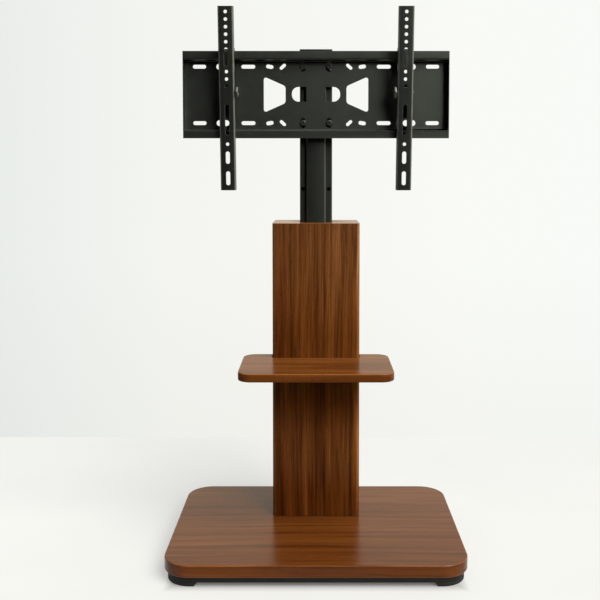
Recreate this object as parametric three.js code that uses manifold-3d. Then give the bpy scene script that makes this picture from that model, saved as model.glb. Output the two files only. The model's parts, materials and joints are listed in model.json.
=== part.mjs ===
// A television stand: a walnut base and column with a small shelf, and a black steel lift post that
// carries a wide mounting plate with two tilting screen arms.
// Millimetres. +X is the viewer's right, +Y goes back, +Z is up, and the floor is z = 0.
import * as THREE from "three";
import { mergeVertices } from "three/addons/utils/BufferGeometryUtils.js";
import Module from "manifold-3d";

const wasm = await Module();
wasm.setup();

// Clearances and mesh fineness
const seatGap = 0.25;
const runClearance = 0.3;
const overrun = 5;
const weldDistance = 1e-4;
const bendSteps = 2;
const slotSteps = 3;
const wideCurveSteps = 5;
const easeSteps = 2;
const roundSides = 16;
const screwSides = 8;
const hexSides = 6;

// Base board, plinth board under it and the corner feet
const baseWidth = 650;
const baseDepth = 450;
const baseThickness = 27;
const baseCornerRadius = 60;
const boardEase = 2.5;
const plinthThickness = 12;
const plinthInset = 7;
const footHeight = 8;
const footLength = 69;
const footEndSlope = 7;
const footInnerRound = 12;
const footScrewInset = 27;
const footScrewRecess = 4.5;
const footScrewDepth = 16;

// Column boards
const columnWidth = 205;
const columnHeight = 698;
const columnFrontY = 31;
const frontPanelThickness = 18;
const sidePanelThickness = 15;
const backPanelThickness = 15;
const topBoardThickness = 18;
const columnFrontRadius = 9;
const columnBackRadius = 4;
const roomBeforeSleeve = 9.5;
const roomBehindSleeve = 52;
const postHoleClearance = 1;
const columnScrewDepth = 30;

// Wood screws: shank radius, head radius, head height
const woodScrewRadius = 2.5;
const woodScrewHeadRadius = 5.5;
const woodScrewHeadHeight = 3;
const screwChamfer = 0.8;

// Shelf and its two angle brackets
const shelfWidth = 344;
const shelfDepth = 207;
const shelfThickness = 18.5;
const shelfNotchDepth = 42;
const shelfCornerRadius = 30;
const shelfTopAboveBase = 381;
const shelfBracketOffset = 58;
const shelfBracketWidth = 28;
const shelfBracketReach = 60;
const shelfBracketDrop = 30;
const shelfBracketThickness = 3;
const shelfBracketBend = 5;
const shelfScrewDepth = 12;

// Lift post: a closed steel section with a raised rib down its front
const postWidth = 77;
const postDepth = 44;
const postWall = 2.5;
const postLength = 690;
const ribWidth = 44;
const ribHeight = 15;
const postCornerRadius = 3;
const postRise = 404;
const capThickness = 4;
const capSpigot = 12;
const spareHoleRadius = 5.2;
const spareDrop = 155.7;

// Guide sleeve inside the column, its bushes and its lock screws
const bushWall = 2.6;
const sleeveWall = 3;
const sleeveCornerRadius = 4;
const flangeWidth = 160;
const flangeThickness = 5;
const flangeBoltInset = 16;
const flangeBoltSpread = 34;
const flangeBoltRadius = 4;
const flangeBoltHeadRadius = 7.5;
const flangeBoltHeadHeight = 5.5;
const flangeBoltDepth = 20;
const bushLength = 40;
const bushRim = 2.5;
const shoeHeight = 24;
const shoeSpigot = 20;
const cableWayWidth = 30;
const cableWayDepth = 14;
const lockBossRadius = 8;
const lockBossIntoPanel = 10;
const lockBossClearance = 1;
const lockScrewRadius = 4;
const lockKnobRadius = 19;
const lockKnobThickness = 14;
const lockKnobHubRadius = 9;
const lockKnobHubLength = 8;
const lockScrewSpacing = 50;
const lockScrewBelowBush = 35;
const knobLobes = 6;
const knobLobeShare = 0.07;
const knobPointsPerLobe = 4;
const knobEase = 1.5;

// Mounting plate: a folded steel tray with an upturned and a downturned lip
const plateWidth = 620;
const plateHeight = 202;
const plateThickness = 2;
const trayDepth = 27;
const upperLip = 20.3;
const lowerLip = 19.5;
const bendRadius = 4;
const postPeek = 3.5;
const slotRowBelowFold = 14.7;
// The openings are cut a little above the plate's middle
const rowsAboveMiddle = 1.7;
const windowsAboveMiddle = 2.5;
const archesAboveMiddle = 3.3;
const slotWidth = 9.1;
const tallSlotWidth = 13.8;
const diagonalSlotWidth = 7.6;
// Shares of half the plate's width, and the tilts in shares of a right angle
const slotPlaceShares = [0.884, 0.708, 0.514, 0.351, 0.252];
const slotLengthShares = [0.101, 0.097, 0.106, 0.056, 0.056];
const slotTiltShares = [0, 0, 0, 0.11, 0.47];
const keyholeStemOffset = 212;
const keyholeStemWidth = 14;
const keyholeStemLength = 36;
const windowOuterX = 123;
const windowInnerX = 71.7;
const windowOuterHalf = 42.5;
const windowInnerHalf = 19.7;
const windowOuterRadius = 5;
const windowInnerRadius = 9;
const archInnerX = 22.8;
const archOuterX = 56.8;
const archHalf = 17.2;
const archCornerRadius = 1.5;
const boltOffset = 30.7;
const boltSlotWidth = 11;
const boltSlotHeight = 24;

// Plate bolts, the spacers they pass through and the threaded bars behind them
const plateBoltRadius = 3;
const boltHoleClearance = 0.3;
const boltFlangeRadius = 7.5;
const boltFlangeHeight = 1.6;
const boltHexRadius = 5.8;
const boltHexHeight = 5;
const boltTail = 3;
const spacerRadius = 7;
const nutBarWidth = 9;
const nutBarThickness = 6;
const nutBarEnd = 12;

// Screen arms: folded channels with rows of holes, named from the tilt pivot
const armOffset = 203.5;
const armWidth = 35.5;
const armDepth = 14;
const armThickness = 2;
const armBendRadius = 4;
const armAbovePivot = 193;
const armBelowPivot = 224;
const armHoleRadius = 3.9;
const armSlotWidth = 9.4;
const armTopHoles = 6;
const armHoleEnd = 12.4;
const armHolePitch = 16.6;
// Shares of the arm's length, counted up from the tilt pivot
const armSingleHoleShares = [0.1148, 0.0745, -0.28];
const armSlotPlaceShares = [0.1823, -0.1473, -0.3547, -0.4697];
const armSlotLengthShares = [0.0776, 0.1671, 0.0685, 0.0776];
const armSmallHole = 16;
const armSmallHoleWidth = 8;
const armSmallHoleHeight = 7;
const armSmallHoleRadius = 1.5;
const restTiltDegrees = 7;

// Tilt brackets that hang on the plate's lips
const pivotAbovePlateMid = 1.3;
const pivotReach = 32;
const pivotSetback = 9;
const bracketSideClearance = 1;
const bracketThickness = 2.5;
const bracketWebBack = 6.5;
const bracketEarRadius = 6;
const bracketWaist = 60;
const bracketBelowLip = 9;
const bracketFrontEdge = 10;
const hookThickness = 6;
const hookDrop = 14;
const bracketWindowWidth = 14;
const bracketWindowRadius = 3;
const upperWindowMiddle = 42.5;
const upperWindowHeight = 34;
const lowerWindowMiddle = -68;
const lowerWindowHeight = 22;

// Tilt knob and pivot bolt
const pivotBoltRadius = 4;
const tiltKnobRadius = 14.5;
const tiltKnobThickness = 5.5;
const tiltHubRadius = 8;
const tiltHubLength = 1.8;
const pivotTail = 1.5;

// Catch that locks each bracket under the lower lip
const catchWidth = 20;
const catchThickness = 2;
const catchLift = 8;
const catchClearance = 0.8;
const catchTipHeight = 5;
const catchTopAboveScrew = 14;
const catchScrewAboveLip = 12.5;
const catchScrewRadius = 2.5;
const catchScrewHeadRadius = 5.6;
const catchScrewHeadHeight = 3.6;
const catchScrewTail = 2.5;

// Heights and depths that follow from the sizes above
const plinthBottom = footHeight + seatGap;
const baseBottom = plinthBottom + plinthThickness + seatGap;
const baseTop = baseBottom + baseThickness;
const columnBottom = baseTop + seatGap;
const columnTop = columnBottom + columnHeight;
const bushAllowance = runClearance + bushWall;
const sleeveInnerWidth = postWidth + 2 * bushAllowance;
const sleeveInnerDepth = postDepth + 2 * bushAllowance;
const sleeveWidth = sleeveInnerWidth + 2 * sleeveWall;
const sleeveDepth = sleeveInnerDepth + 2 * sleeveWall;
const sleeveBoreRadius = sleeveCornerRadius - sleeveWall;
const frontPanelBackY = columnFrontY + frontPanelThickness;
const sleeveFrontY = frontPanelBackY + roomBeforeSleeve;
const sleeveBackY = sleeveFrontY + sleeveDepth;
const backPanelFrontY = sleeveBackY + roomBehindSleeve;
const columnBackY = backPanelFrontY + backPanelThickness;
const lockBossLength = roomBehindSleeve + lockBossIntoPanel;
const sideRoomDepth = backPanelFrontY - frontPanelBackY;
const insideMiddleY = (frontPanelBackY + backPanelFrontY) / 2;
const sleeveMiddleY = (sleeveFrontY + sleeveBackY) / 2;
const columnInsideWidth = columnWidth - 2 * sidePanelThickness;
const topBoardBottom = columnTop - topBoardThickness;
const sleeveBottom = baseTop + seatGap;
const sleeveTop = topBoardBottom - bushRim - 2 * seatGap;
const shelfTop = baseTop + shelfTopAboveBase;
const shelfBottom = shelfTop - shelfThickness;
const postFrontY = sleeveFrontY + sleeveWall + bushAllowance;
const postTop = columnTop + postRise;
const postBottom = postTop - postLength;
const plateBackY = postFrontY - seatGap;
const plateMid = postTop - postPeek - plateHeight / 2;
const upperFold = plateHeight / 2 - upperLip;
const lowerFold = lowerLip - plateHeight / 2;
const slotRowHeight = upperFold - slotRowBelowFold;
const rowMiddle = plateMid + rowsAboveMiddle;
const nutBarLength = 2 * (slotRowHeight + nutBarEnd);
const armLength = armAbovePivot + armBelowPivot;
const lipFrontY = plateBackY - trayDepth;
const pivotY = lipFrontY - pivotReach;
const pivotZ = plateMid + pivotAbovePlateMid;
const upperLipTop = plateHeight / 2 - pivotAbovePlateMid;
const lowerLipBottom = -plateHeight / 2 - pivotAbovePlateMid;
const bracketWidth = armWidth - 2 * armThickness - 2 * bracketSideClearance;
const webY = pivotReach - bracketWebBack - bracketThickness;
const catchScrewZ = lowerLipBottom + catchScrewAboveLip;
const plinthWidth = baseWidth - 2 * plinthInset;
const plinthDepth = baseDepth - 2 * plinthInset;
const plinthCornerRadius = baseCornerRadius - plinthInset;
const shelfScrewY = -(shelfBracketReach * 2) / 3;
const shelfBracketScrewZ = shelfBottom - shelfBracketDrop / 2;
const lockScrewTop = sleeveTop - bushLength - lockScrewBelowBush;
const lockScrewHeights = [lockScrewTop, lockScrewTop - lockScrewSpacing];

// Finishes
const walnut = new THREE.MeshStandardMaterial({ color: 0x7a4a2c, roughness: 0.42, metalness: 0 });
const blackBoard = new THREE.MeshStandardMaterial({ color: 0x1a1918, roughness: 0.6, metalness: 0 });
const blackSteel = new THREE.MeshStandardMaterial({ color: 0x2b2c29, roughness: 0.5, metalness: 0.4 });
const rubber = new THREE.MeshStandardMaterial({ color: 0x131313, roughness: 0.85, metalness: 0 });
const plastic = new THREE.MeshStandardMaterial({ color: 0x1e1f1e, roughness: 0.55, metalness: 0 });
const zinc = new THREE.MeshStandardMaterial({ color: 0x9a9c9b, roughness: 0.35, metalness: 0.9 });

// Solids and cuts
function toSolid(geometry) {
  const bare = geometry.clone();
  bare.deleteAttribute("normal");
  bare.deleteAttribute("uv");
  const merged = mergeVertices(bare, weldDistance);
  return new wasm.Manifold(
    new wasm.Mesh({
      numProp: 3,
      vertProperties: merged.attributes.position.array,
      triVerts: new Uint32Array(merged.index.array),
    }),
  );
}

function toGeometry(solid) {
  const { vertProperties, triVerts } = solid.getMesh();
  const geometry = new THREE.BufferGeometry();
  geometry.setAttribute("position", new THREE.BufferAttribute(new Float32Array(vertProperties), 3));
  geometry.setIndex(new THREE.BufferAttribute(new Uint32Array(triVerts), 1));
  geometry.computeVertexNormals();
  return geometry;
}

function join(pieces) {
  return toGeometry(pieces.map(toSolid).reduce((whole, piece) => whole.add(piece)));
}

function cut(body, tools) {
  return toGeometry(tools.map(toSolid).reduce((left, tool) => left.subtract(tool), toSolid(body)));
}

function common(pieces) {
  return toGeometry(pieces.map(toSolid).reduce((whole, piece) => whole.intersect(piece)));
}

// Flat outlines
// Corners are [x, y, radius], given anticlockwise, and each is turned with a round of its radius.
function outline(corners) {
  const shape = new THREE.Shape();
  corners.forEach(([x, y, radius], i) => {
    const here = new THREE.Vector2(x, y);
    const before = new THREE.Vector2(...corners.at(i - 1));
    const after = new THREE.Vector2(...corners[(i + 1) % corners.length]);
    const back = before.sub(here).normalize();
    const ahead = after.sub(here).normalize();
    if (radius > 0) {
      const halfAngle = Math.acos(THREE.MathUtils.clamp(back.dot(ahead), -1, 1)) / 2;
      const middle = back.clone().add(ahead).normalize();
      const centre = here.clone().addScaledVector(middle, radius / Math.sin(halfAngle));
      const reach = radius / Math.tan(halfAngle);
      const start = here.clone().addScaledVector(back, reach).sub(centre);
      const end = here.clone().addScaledVector(ahead, reach).sub(centre);
      shape.absarc(centre.x, centre.y, radius, start.angle(), end.angle(), back.cross(ahead) > 0);
    } else if (i === 0) {
      shape.moveTo(x, y);
    } else {
      shape.lineTo(x, y);
    }
  });
  return shape;
}

function boxOutline(lowX, lowY, highX, highY, radius = 0) {
  const corners = [
    [lowX, lowY, radius],
    [highX, lowY, radius],
    [highX, highY, radius],
    [lowX, highY, radius],
  ];
  return outline(corners);
}

function middleBox(width, height, radius = 0) {
  return boxOutline(-width / 2, -height / 2, width / 2, height / 2, radius);
}

// A slot with round ends that lies along x.
function slotOutline(length, width) {
  const shape = new THREE.Shape();
  const straight = (length - width) / 2;
  shape.absarc(straight, 0, width / 2, -Math.PI / 2, Math.PI / 2, false);
  shape.absarc(-straight, 0, width / 2, Math.PI / 2, (3 * Math.PI) / 2, false);
  return shape;
}

function circleOutline(radius) {
  const shape = new THREE.Shape();
  shape.absarc(0, 0, radius, 0, Math.PI, false);
  shape.absarc(0, 0, radius, Math.PI, 2 * Math.PI, false);
  return shape;
}

// Sheets and boards
// A plan outline that rises along z from 0.
function flat(shape, thickness, ease = 0, curveSegments = bendSteps) {
  const options = { depth: thickness - 2 * ease, bevelEnabled: ease > 0, curveSegments };
  const bevel = { bevelThickness: ease, bevelSize: ease, bevelOffset: -ease, bevelSegments: easeSteps };
  return new THREE.ExtrudeGeometry(shape, { ...options, ...bevel }).translate(0, 0, ease);
}

// An outline seen from the front, in x and z, that goes back from y = 0.
function upright(shape, thickness, ease = 0, curveSegments = bendSteps) {
  return flat(shape, thickness, ease, curveSegments).rotateX(Math.PI / 2).translate(0, thickness, 0);
}

// An outline seen from the side, in y and z, centred on x = 0.
function sideways(shape, width) {
  const yToX = new THREE.Matrix4().makeBasis(
    new THREE.Vector3(0, 1, 0),
    new THREE.Vector3(0, 0, 1),
    new THREE.Vector3(1, 0, 0),
  );
  return flat(shape, width).translate(0, 0, -width / 2).applyMatrix4(yToX);
}

function punchFlat(shape, thickness) {
  return flat(shape, thickness + 2 * overrun).translate(0, 0, -overrun);
}

function punchUpright(shape, thickness, curveSegments = slotSteps) {
  return upright(shape, thickness + 2 * overrun, 0, curveSegments).translate(0, -overrun, 0);
}

// Round pieces, all along +y
function rod(radius, length, sides = roundSides) {
  return new THREE.CylinderGeometry(radius, radius, length, sides).translate(0, length / 2, 0);
}

// A cutter for a round hole: its flats, not its corners, lie at the radius.
function bore(radius, length, sides = roundSides) {
  return rod(radius / Math.cos(Math.PI / sides), length, sides);
}

function turned(profile, sides = roundSides) {
  return new THREE.LatheGeometry(profile.map((point) => new THREE.Vector2(...point)), sides);
}

// The underside of the head is at y = 0, the shank runs along +y, and the head stands the other way.
function screw(length, radius, headRadius, headHeight) {
  const profile = [
    [0, -headHeight],
    [headRadius - screwChamfer, -headHeight],
    [headRadius, screwChamfer - headHeight],
    [headRadius, 0],
    [radius, 0],
    [radius, length - screwChamfer],
    [0, length],
  ];
  return turned(profile, screwSides);
}

function hexBolt(length, radius, flangeRadius, flangeHeight, hexRadius, hexHeight) {
  const body = screw(length, radius, flangeRadius, flangeHeight);
  const top = flangeHeight + hexHeight;
  return join([body, rod(hexRadius, top, hexSides).translate(0, -top, 0)]);
}

// A hand knob with rounded lobes; it stands from y = 0 back along -y, and its hub is at the front.
function knob(radius, thickness, hubRadius, hubLength, screwRadius, screwLength) {
  const points = [];
  const steps = knobLobes * knobPointsPerLobe;
  for (let i = 0; i < steps; i += 1) {
    const angle = (2 * Math.PI * i) / steps;
    const reach = radius * (1 - knobLobeShare + knobLobeShare * Math.cos(knobLobes * angle));
    points.push(new THREE.Vector2(reach * Math.cos(angle), reach * Math.sin(angle)));
  }
  const grip = upright(new THREE.Shape(points), thickness, knobEase).translate(0, -hubLength - thickness, 0);
  const shaft = rod(screwRadius, screwLength + hubLength + thickness / 2, screwSides);
  return join([
    grip,
    rod(hubRadius, hubLength + thickness / 2).translate(0, -hubLength - thickness / 2, 0),
    shaft.translate(0, -hubLength - thickness / 2, 0),
  ]);
}

const pointUp = (geometry) => geometry.rotateX(Math.PI / 2);
const pointDown = (geometry) => geometry.rotateX(-Math.PI / 2);
const pointRight = (geometry) => geometry.rotateZ(-Math.PI / 2);
const pointLeft = (geometry) => geometry.rotateZ(Math.PI / 2);

function add(parent, name, geometry, material, x = 0, y = 0, z = 0) {
  const mesh = new THREE.Mesh(geometry, material.clone());
  mesh.name = name;
  mesh.position.set(x, y, z);
  parent.add(mesh);
  return mesh;
}

const sides = [
  { name: "left", sign: -1 },
  { name: "right", sign: 1 },
];
const ends = [
  { name: "front", sign: -1 },
  { name: "rear", sign: 1 },
];
const rows = [
  { name: "upper", sign: 1 },
  { name: "lower", sign: -1 },
];

// Places shared by screws and the holes that take them
const footScrewX = baseWidth / 2 - plinthInset - footScrewInset;
const footScrewY = baseDepth / 2 - plinthInset - footScrewInset;
const columnScrewX = columnWidth / 2 - sidePanelThickness / 2;
const flangeBoltX = flangeWidth / 2 - flangeBoltInset;
const corners = ends.flatMap((end) => sides.map((side) => ({ end, side })));
const pilotRadius = woodScrewRadius + seatGap;
const screwHeadRoom = woodScrewHeadRadius + seatGap;

// Base
function buildBase(stand) {
  const plan = middleBox(baseWidth, baseDepth, baseCornerRadius);
  const board = flat(plan, baseThickness, boardEase, wideCurveSteps);
  const holes = [];
  corners.forEach(({ end, side }) => {
    const footHole = pointUp(bore(pilotRadius, footScrewDepth + overrun, screwSides));
    holes.push(footHole.translate(side.sign * footScrewX, end.sign * footScrewY, -overrun));
    const boltHole = pointDown(bore(flangeBoltRadius + seatGap, flangeBoltDepth + overrun, screwSides));
    const boltY = sleeveMiddleY + (end.sign * flangeBoltSpread) / 2;
    holes.push(boltHole.translate(side.sign * flangeBoltX, boltY, baseThickness + overrun));
  });
  sides.forEach((side) => {
    const through = pointUp(bore(pilotRadius, baseThickness + 2 * overrun, screwSides));
    holes.push(through.translate(side.sign * columnScrewX, insideMiddleY, -overrun));
    const headRoom = pointUp(bore(screwHeadRoom, woodScrewHeadHeight + seatGap + overrun, screwSides));
    holes.push(headRoom.translate(side.sign * columnScrewX, insideMiddleY, -overrun));
  });
  add(stand, "base_board", cut(board, holes), walnut, 0, 0, baseBottom);

  sides.forEach((side) => {
    const length = baseThickness + columnScrewDepth - woodScrewHeadHeight;
    const piece = pointUp(screw(length, woodScrewRadius, woodScrewHeadRadius, woodScrewHeadHeight));
    add(stand, `column_screw_${side.name}`, piece, zinc,
      side.sign * columnScrewX, insideMiddleY, baseBottom + woodScrewHeadHeight);
  });
}

function buildPlinth(stand) {
  const plan = middleBox(plinthWidth, plinthDepth, plinthCornerRadius);
  const plinth = flat(plan, plinthThickness, 0, wideCurveSteps);
  const holes = corners.map(({ end, side }) => {
    const hole = pointUp(bore(pilotRadius, plinthThickness + 2 * overrun, screwSides));
    return hole.translate(side.sign * footScrewX, end.sign * footScrewY, -overrun);
  });
  add(stand, "plinth_board", cut(plinth, holes), blackBoard, 0, 0, plinthBottom);
}

// A foot follows the plinth's round corner, and its two inner ends slope in towards the floor. Its own
// origin is the corner of the plinth's outline, and quarter turns bring it to the other corners.
function footShape() {
  const plan = outline([
    [-footLength, -footLength, footInnerRound],
    [0, -footLength, 0],
    [0, 0, plinthCornerRadius],
    [-footLength, 0, 0],
  ]);
  const slopingEnd = outline([
    [footEndSlope - footLength, 0, 0],
    [0, 0, 0],
    [0, footHeight, 0],
    [-footLength, footHeight, 0],
  ]);
  const whole = common([
    flat(plan, footHeight, 0, wideCurveSteps),
    upright(slopingEnd, footLength).translate(0, -footLength, 0),
    sideways(slopingEnd, footLength).translate(-footLength / 2, 0, 0),
  ]);
  const recess = pointUp(bore(screwHeadRoom, footScrewRecess + overrun, screwSides));
  const through = pointUp(bore(pilotRadius, footHeight + 2 * overrun, screwSides));
  const tools = [recess, through].map((tool) => tool.translate(-footScrewInset, -footScrewInset, -overrun));
  return cut(whole, tools);
}

function buildFeet(stand) {
  const quarterTurns = { rear_right: 0, rear_left: 1, front_left: 2, front_right: 3 };
  corners.forEach(({ end, side }) => {
    const place = `${end.name}_${side.name}`;
    const cornerX = (side.sign * plinthWidth) / 2;
    const cornerY = (end.sign * plinthDepth) / 2;
    const foot = add(stand, `foot_${place}`, footShape(), rubber, cornerX, cornerY, 0);
    foot.rotation.z = (quarterTurns[place] * Math.PI) / 2;

    const length = baseBottom + footScrewDepth - footScrewRecess - seatGap;
    const piece = pointUp(screw(length, woodScrewRadius, woodScrewHeadRadius, woodScrewHeadHeight));
    const seat = footScrewRecess - seatGap;
    add(stand, `foot_screw_${place}`, piece, zinc, side.sign * footScrewX, end.sign * footScrewY, seat);
  });
}

// Column
function buildColumn(stand) {
  const half = columnWidth / 2;
  const column = new THREE.Group();
  column.position.set(0, 0, columnBottom);
  stand.add(column);

  const frontPlan = outline([
    [-half, frontPanelBackY, 0],
    [-half, columnFrontY, columnFrontRadius],
    [half, columnFrontY, columnFrontRadius],
    [half, frontPanelBackY, 0],
  ]);
  const pilot = () => bore(pilotRadius, shelfScrewDepth + overrun, screwSides).translate(0, -overrun, 0);
  const pilots = sides.map((side) =>
    pilot().translate(side.sign * shelfBracketOffset, columnFrontY, shelfBracketScrewZ - columnBottom));
  add(column, "column_front_panel", cut(flat(frontPlan, columnHeight), pilots), walnut);

  const backPlan = outline([
    [-half, backPanelFrontY, 0],
    [half, backPanelFrontY, 0],
    [half, columnBackY, columnBackRadius],
    [-half, columnBackY, columnBackRadius],
  ]);
  const bossHoles = lockScrewHeights.map((z) =>
    punchUpright(circleOutline(lockBossRadius + lockBossClearance), backPanelThickness)
      .translate(0, backPanelFrontY, z - columnBottom));
  add(column, "column_back_panel", cut(flat(backPlan, columnHeight), bossHoles), walnut);

  sides.forEach((side) => {
    const plan = middleBox(sidePanelThickness, sideRoomDepth - 2 * seatGap);
    const hole = pointUp(bore(pilotRadius, columnScrewDepth + seatGap + overrun, screwSides));
    const panel = cut(flat(plan, columnHeight), [hole.translate(0, 0, -overrun)]);
    add(column, `column_${side.name}_panel`, panel, walnut, side.sign * columnScrewX, insideMiddleY, 0);
  });

  const topPlan = middleBox(columnInsideWidth - 2 * seatGap, sideRoomDepth - 2 * seatGap);
  const postHole = punchFlat(postOutline(-postHoleClearance, postCornerRadius), topBoardThickness);
  const topBoard = cut(flat(topPlan, topBoardThickness).translate(0, insideMiddleY, 0), [
    postHole.translate(0, postFrontY, 0),
  ]);
  add(column, "column_top_board", topBoard, walnut, 0, 0, topBoardBottom - columnBottom);
}

// Guide sleeve, bolted to the base inside the column
function buildSleeve(stand) {
  const sleeveLength = sleeveTop - sleeveBottom;
  const section = middleBox(sleeveWidth, sleeveDepth, sleeveCornerRadius);
  const hollow = punchFlat(middleBox(sleeveInnerWidth, sleeveInnerDepth, sleeveBoreRadius), sleeveLength);
  const flange = flat(middleBox(flangeWidth, sleeveDepth, sleeveCornerRadius), flangeThickness);
  const bosses = lockScrewHeights.map((z) =>
    rod(lockBossRadius, sleeveWall / 2 + lockBossLength)
      .translate(0, sleeveDepth / 2 - sleeveWall / 2, z - sleeveBottom));
  const threads = lockScrewHeights.map((z) =>
    bore(lockScrewRadius + seatGap, lockBossLength + sleeveWall + 2 * overrun)
      .translate(0, sleeveInnerDepth / 2 - overrun, z - sleeveBottom));
  const boltHoles = corners.map(({ end, side }) => {
    const hole = pointUp(bore(flangeBoltRadius + seatGap, flangeThickness + 2 * overrun, screwSides));
    return hole.translate(side.sign * flangeBoltX, (end.sign * flangeBoltSpread) / 2, -overrun);
  });
  const whole = join([flat(section, sleeveLength), flange, ...bosses]);
  const sleeve = cut(whole, [hollow, ...threads, ...boltHoles]);
  add(stand, "guide_sleeve", sleeve, blackSteel, 0, sleeveMiddleY, sleeveBottom);

  const boltSeat = sleeveBottom + flangeThickness + seatGap;
  corners.forEach(({ end, side }) => {
    const length = boltSeat - baseTop + flangeBoltDepth - seatGap;
    const bolt = screw(length, flangeBoltRadius, flangeBoltHeadRadius, flangeBoltHeadHeight);
    const y = sleeveMiddleY + (end.sign * flangeBoltSpread) / 2;
    const name = `flange_bolt_${end.name}_${side.name}`;
    add(stand, name, pointDown(bolt), zinc, side.sign * flangeBoltX, y, boltSeat);
  });

  const bushPlan = middleBox(sleeveInnerWidth - 2 * seatGap, sleeveInnerDepth - 2 * seatGap, sleeveBoreRadius);
  const rimPlan = middleBox(sleeveWidth, sleeveDepth, sleeveCornerRadius);
  const way = punchFlat(postOutline(-runClearance, postCornerRadius), bushLength + bushRim);
  const bush = cut(
    join([flat(bushPlan, bushLength + bushRim), flat(rimPlan, bushRim).translate(0, 0, bushLength)]),
    [way.translate(0, postFrontY - sleeveMiddleY, 0)],
  );
  add(stand, "upper_guide_bush", bush, plastic, 0, sleeveMiddleY, sleeveTop + seatGap - bushLength);
}

function buildLockScrews(stand) {
  const seatY = columnBackY + seatGap;
  const tipY = postFrontY + postDepth + runClearance;
  lockScrewHeights.forEach((z, i) => {
    const piece = knob(lockKnobRadius, lockKnobThickness, lockKnobHubRadius, lockKnobHubLength,
      lockScrewRadius, seatY - tipY);
    add(stand, `height_lock_screw_${rows[i].name}`, piece.rotateZ(Math.PI), plastic, 0, seatY, z);
  });
}

// Shelf
function buildShelf(stand) {
  const shelf = new THREE.Group();
  shelf.position.set(0, columnFrontY, shelfBottom);
  stand.add(shelf);
  const half = shelfWidth / 2;
  const notchHalf = columnWidth / 2 + seatGap;
  const notchRadius = columnFrontRadius + seatGap;
  const frontY = shelfNotchDepth - shelfDepth;
  const plan = outline([
    [-half, frontY, shelfCornerRadius],
    [half, frontY, shelfCornerRadius],
    [half, shelfNotchDepth, shelfCornerRadius],
    [notchHalf, shelfNotchDepth, 0],
    [notchHalf, -seatGap, notchRadius],
    [-notchHalf, -seatGap, notchRadius],
    [-notchHalf, shelfNotchDepth, 0],
    [-half, shelfNotchDepth, shelfCornerRadius],
  ]);
  const board = flat(plan, shelfThickness, boardEase, wideCurveSteps);
  const pilots = sides.map((side) =>
    pointUp(bore(pilotRadius, shelfScrewDepth + overrun, screwSides))
      .translate(side.sign * shelfBracketOffset, shelfScrewY, -overrun));
  add(shelf, "shelf_board", cut(board, pilots), walnut);

  const t = shelfBracketThickness;
  sides.forEach((side) => {
    const bracket = new THREE.Group();
    bracket.position.set(side.sign * shelfBracketOffset, -seatGap, -seatGap);
    shelf.add(bracket);
    const section = outline([
      [0, 0, shelfBracketBend],
      [-shelfBracketReach, 0, 0],
      [-shelfBracketReach, -t, 0],
      [-t, -t, shelfBracketBend - t],
      [-t, -shelfBracketDrop, 0],
      [0, -shelfBracketDrop, 0],
    ]);
    const holes = [
      bore(pilotRadius, t + 2 * overrun, screwSides)
        .translate(0, -t - overrun, shelfBracketScrewZ - shelfBottom + seatGap),
      pointUp(bore(pilotRadius, t + 2 * overrun, screwSides))
        .translate(0, shelfScrewY + seatGap, -t - overrun),
    ];
    add(bracket, `shelf_bracket_${side.name}`, cut(sideways(section, shelfBracketWidth), holes), blackSteel);
    const shape = () => screw(t + shelfScrewDepth, woodScrewRadius, woodScrewHeadRadius, woodScrewHeadHeight);
    add(bracket, `bracket_wall_screw_${side.name}`, shape(), zinc,
      0, -t - seatGap, shelfBracketScrewZ - shelfBottom + seatGap);
    add(bracket, `bracket_shelf_screw_${side.name}`, pointUp(shape()), zinc,
      0, shelfScrewY + seatGap, -t - seatGap);
  });
}

// Lift post
// The post's section in plan, drawn in by an inset on every side. Its rib faces forward at y = 0.
function postOutline(inset, radius) {
  const rib = ribWidth / 2 - inset;
  const body = postWidth / 2 - inset;
  const shoulder = ribHeight + inset;
  const back = postDepth - inset;
  const inner = radius / 2;
  return outline([
    [-rib, inset, radius],
    [rib, inset, radius],
    [rib, shoulder, inner],
    [body, shoulder, radius],
    [body, back, radius],
    [-body, back, radius],
    [-body, shoulder, radius],
    [-rib, shoulder, inner],
  ]);
}

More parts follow.
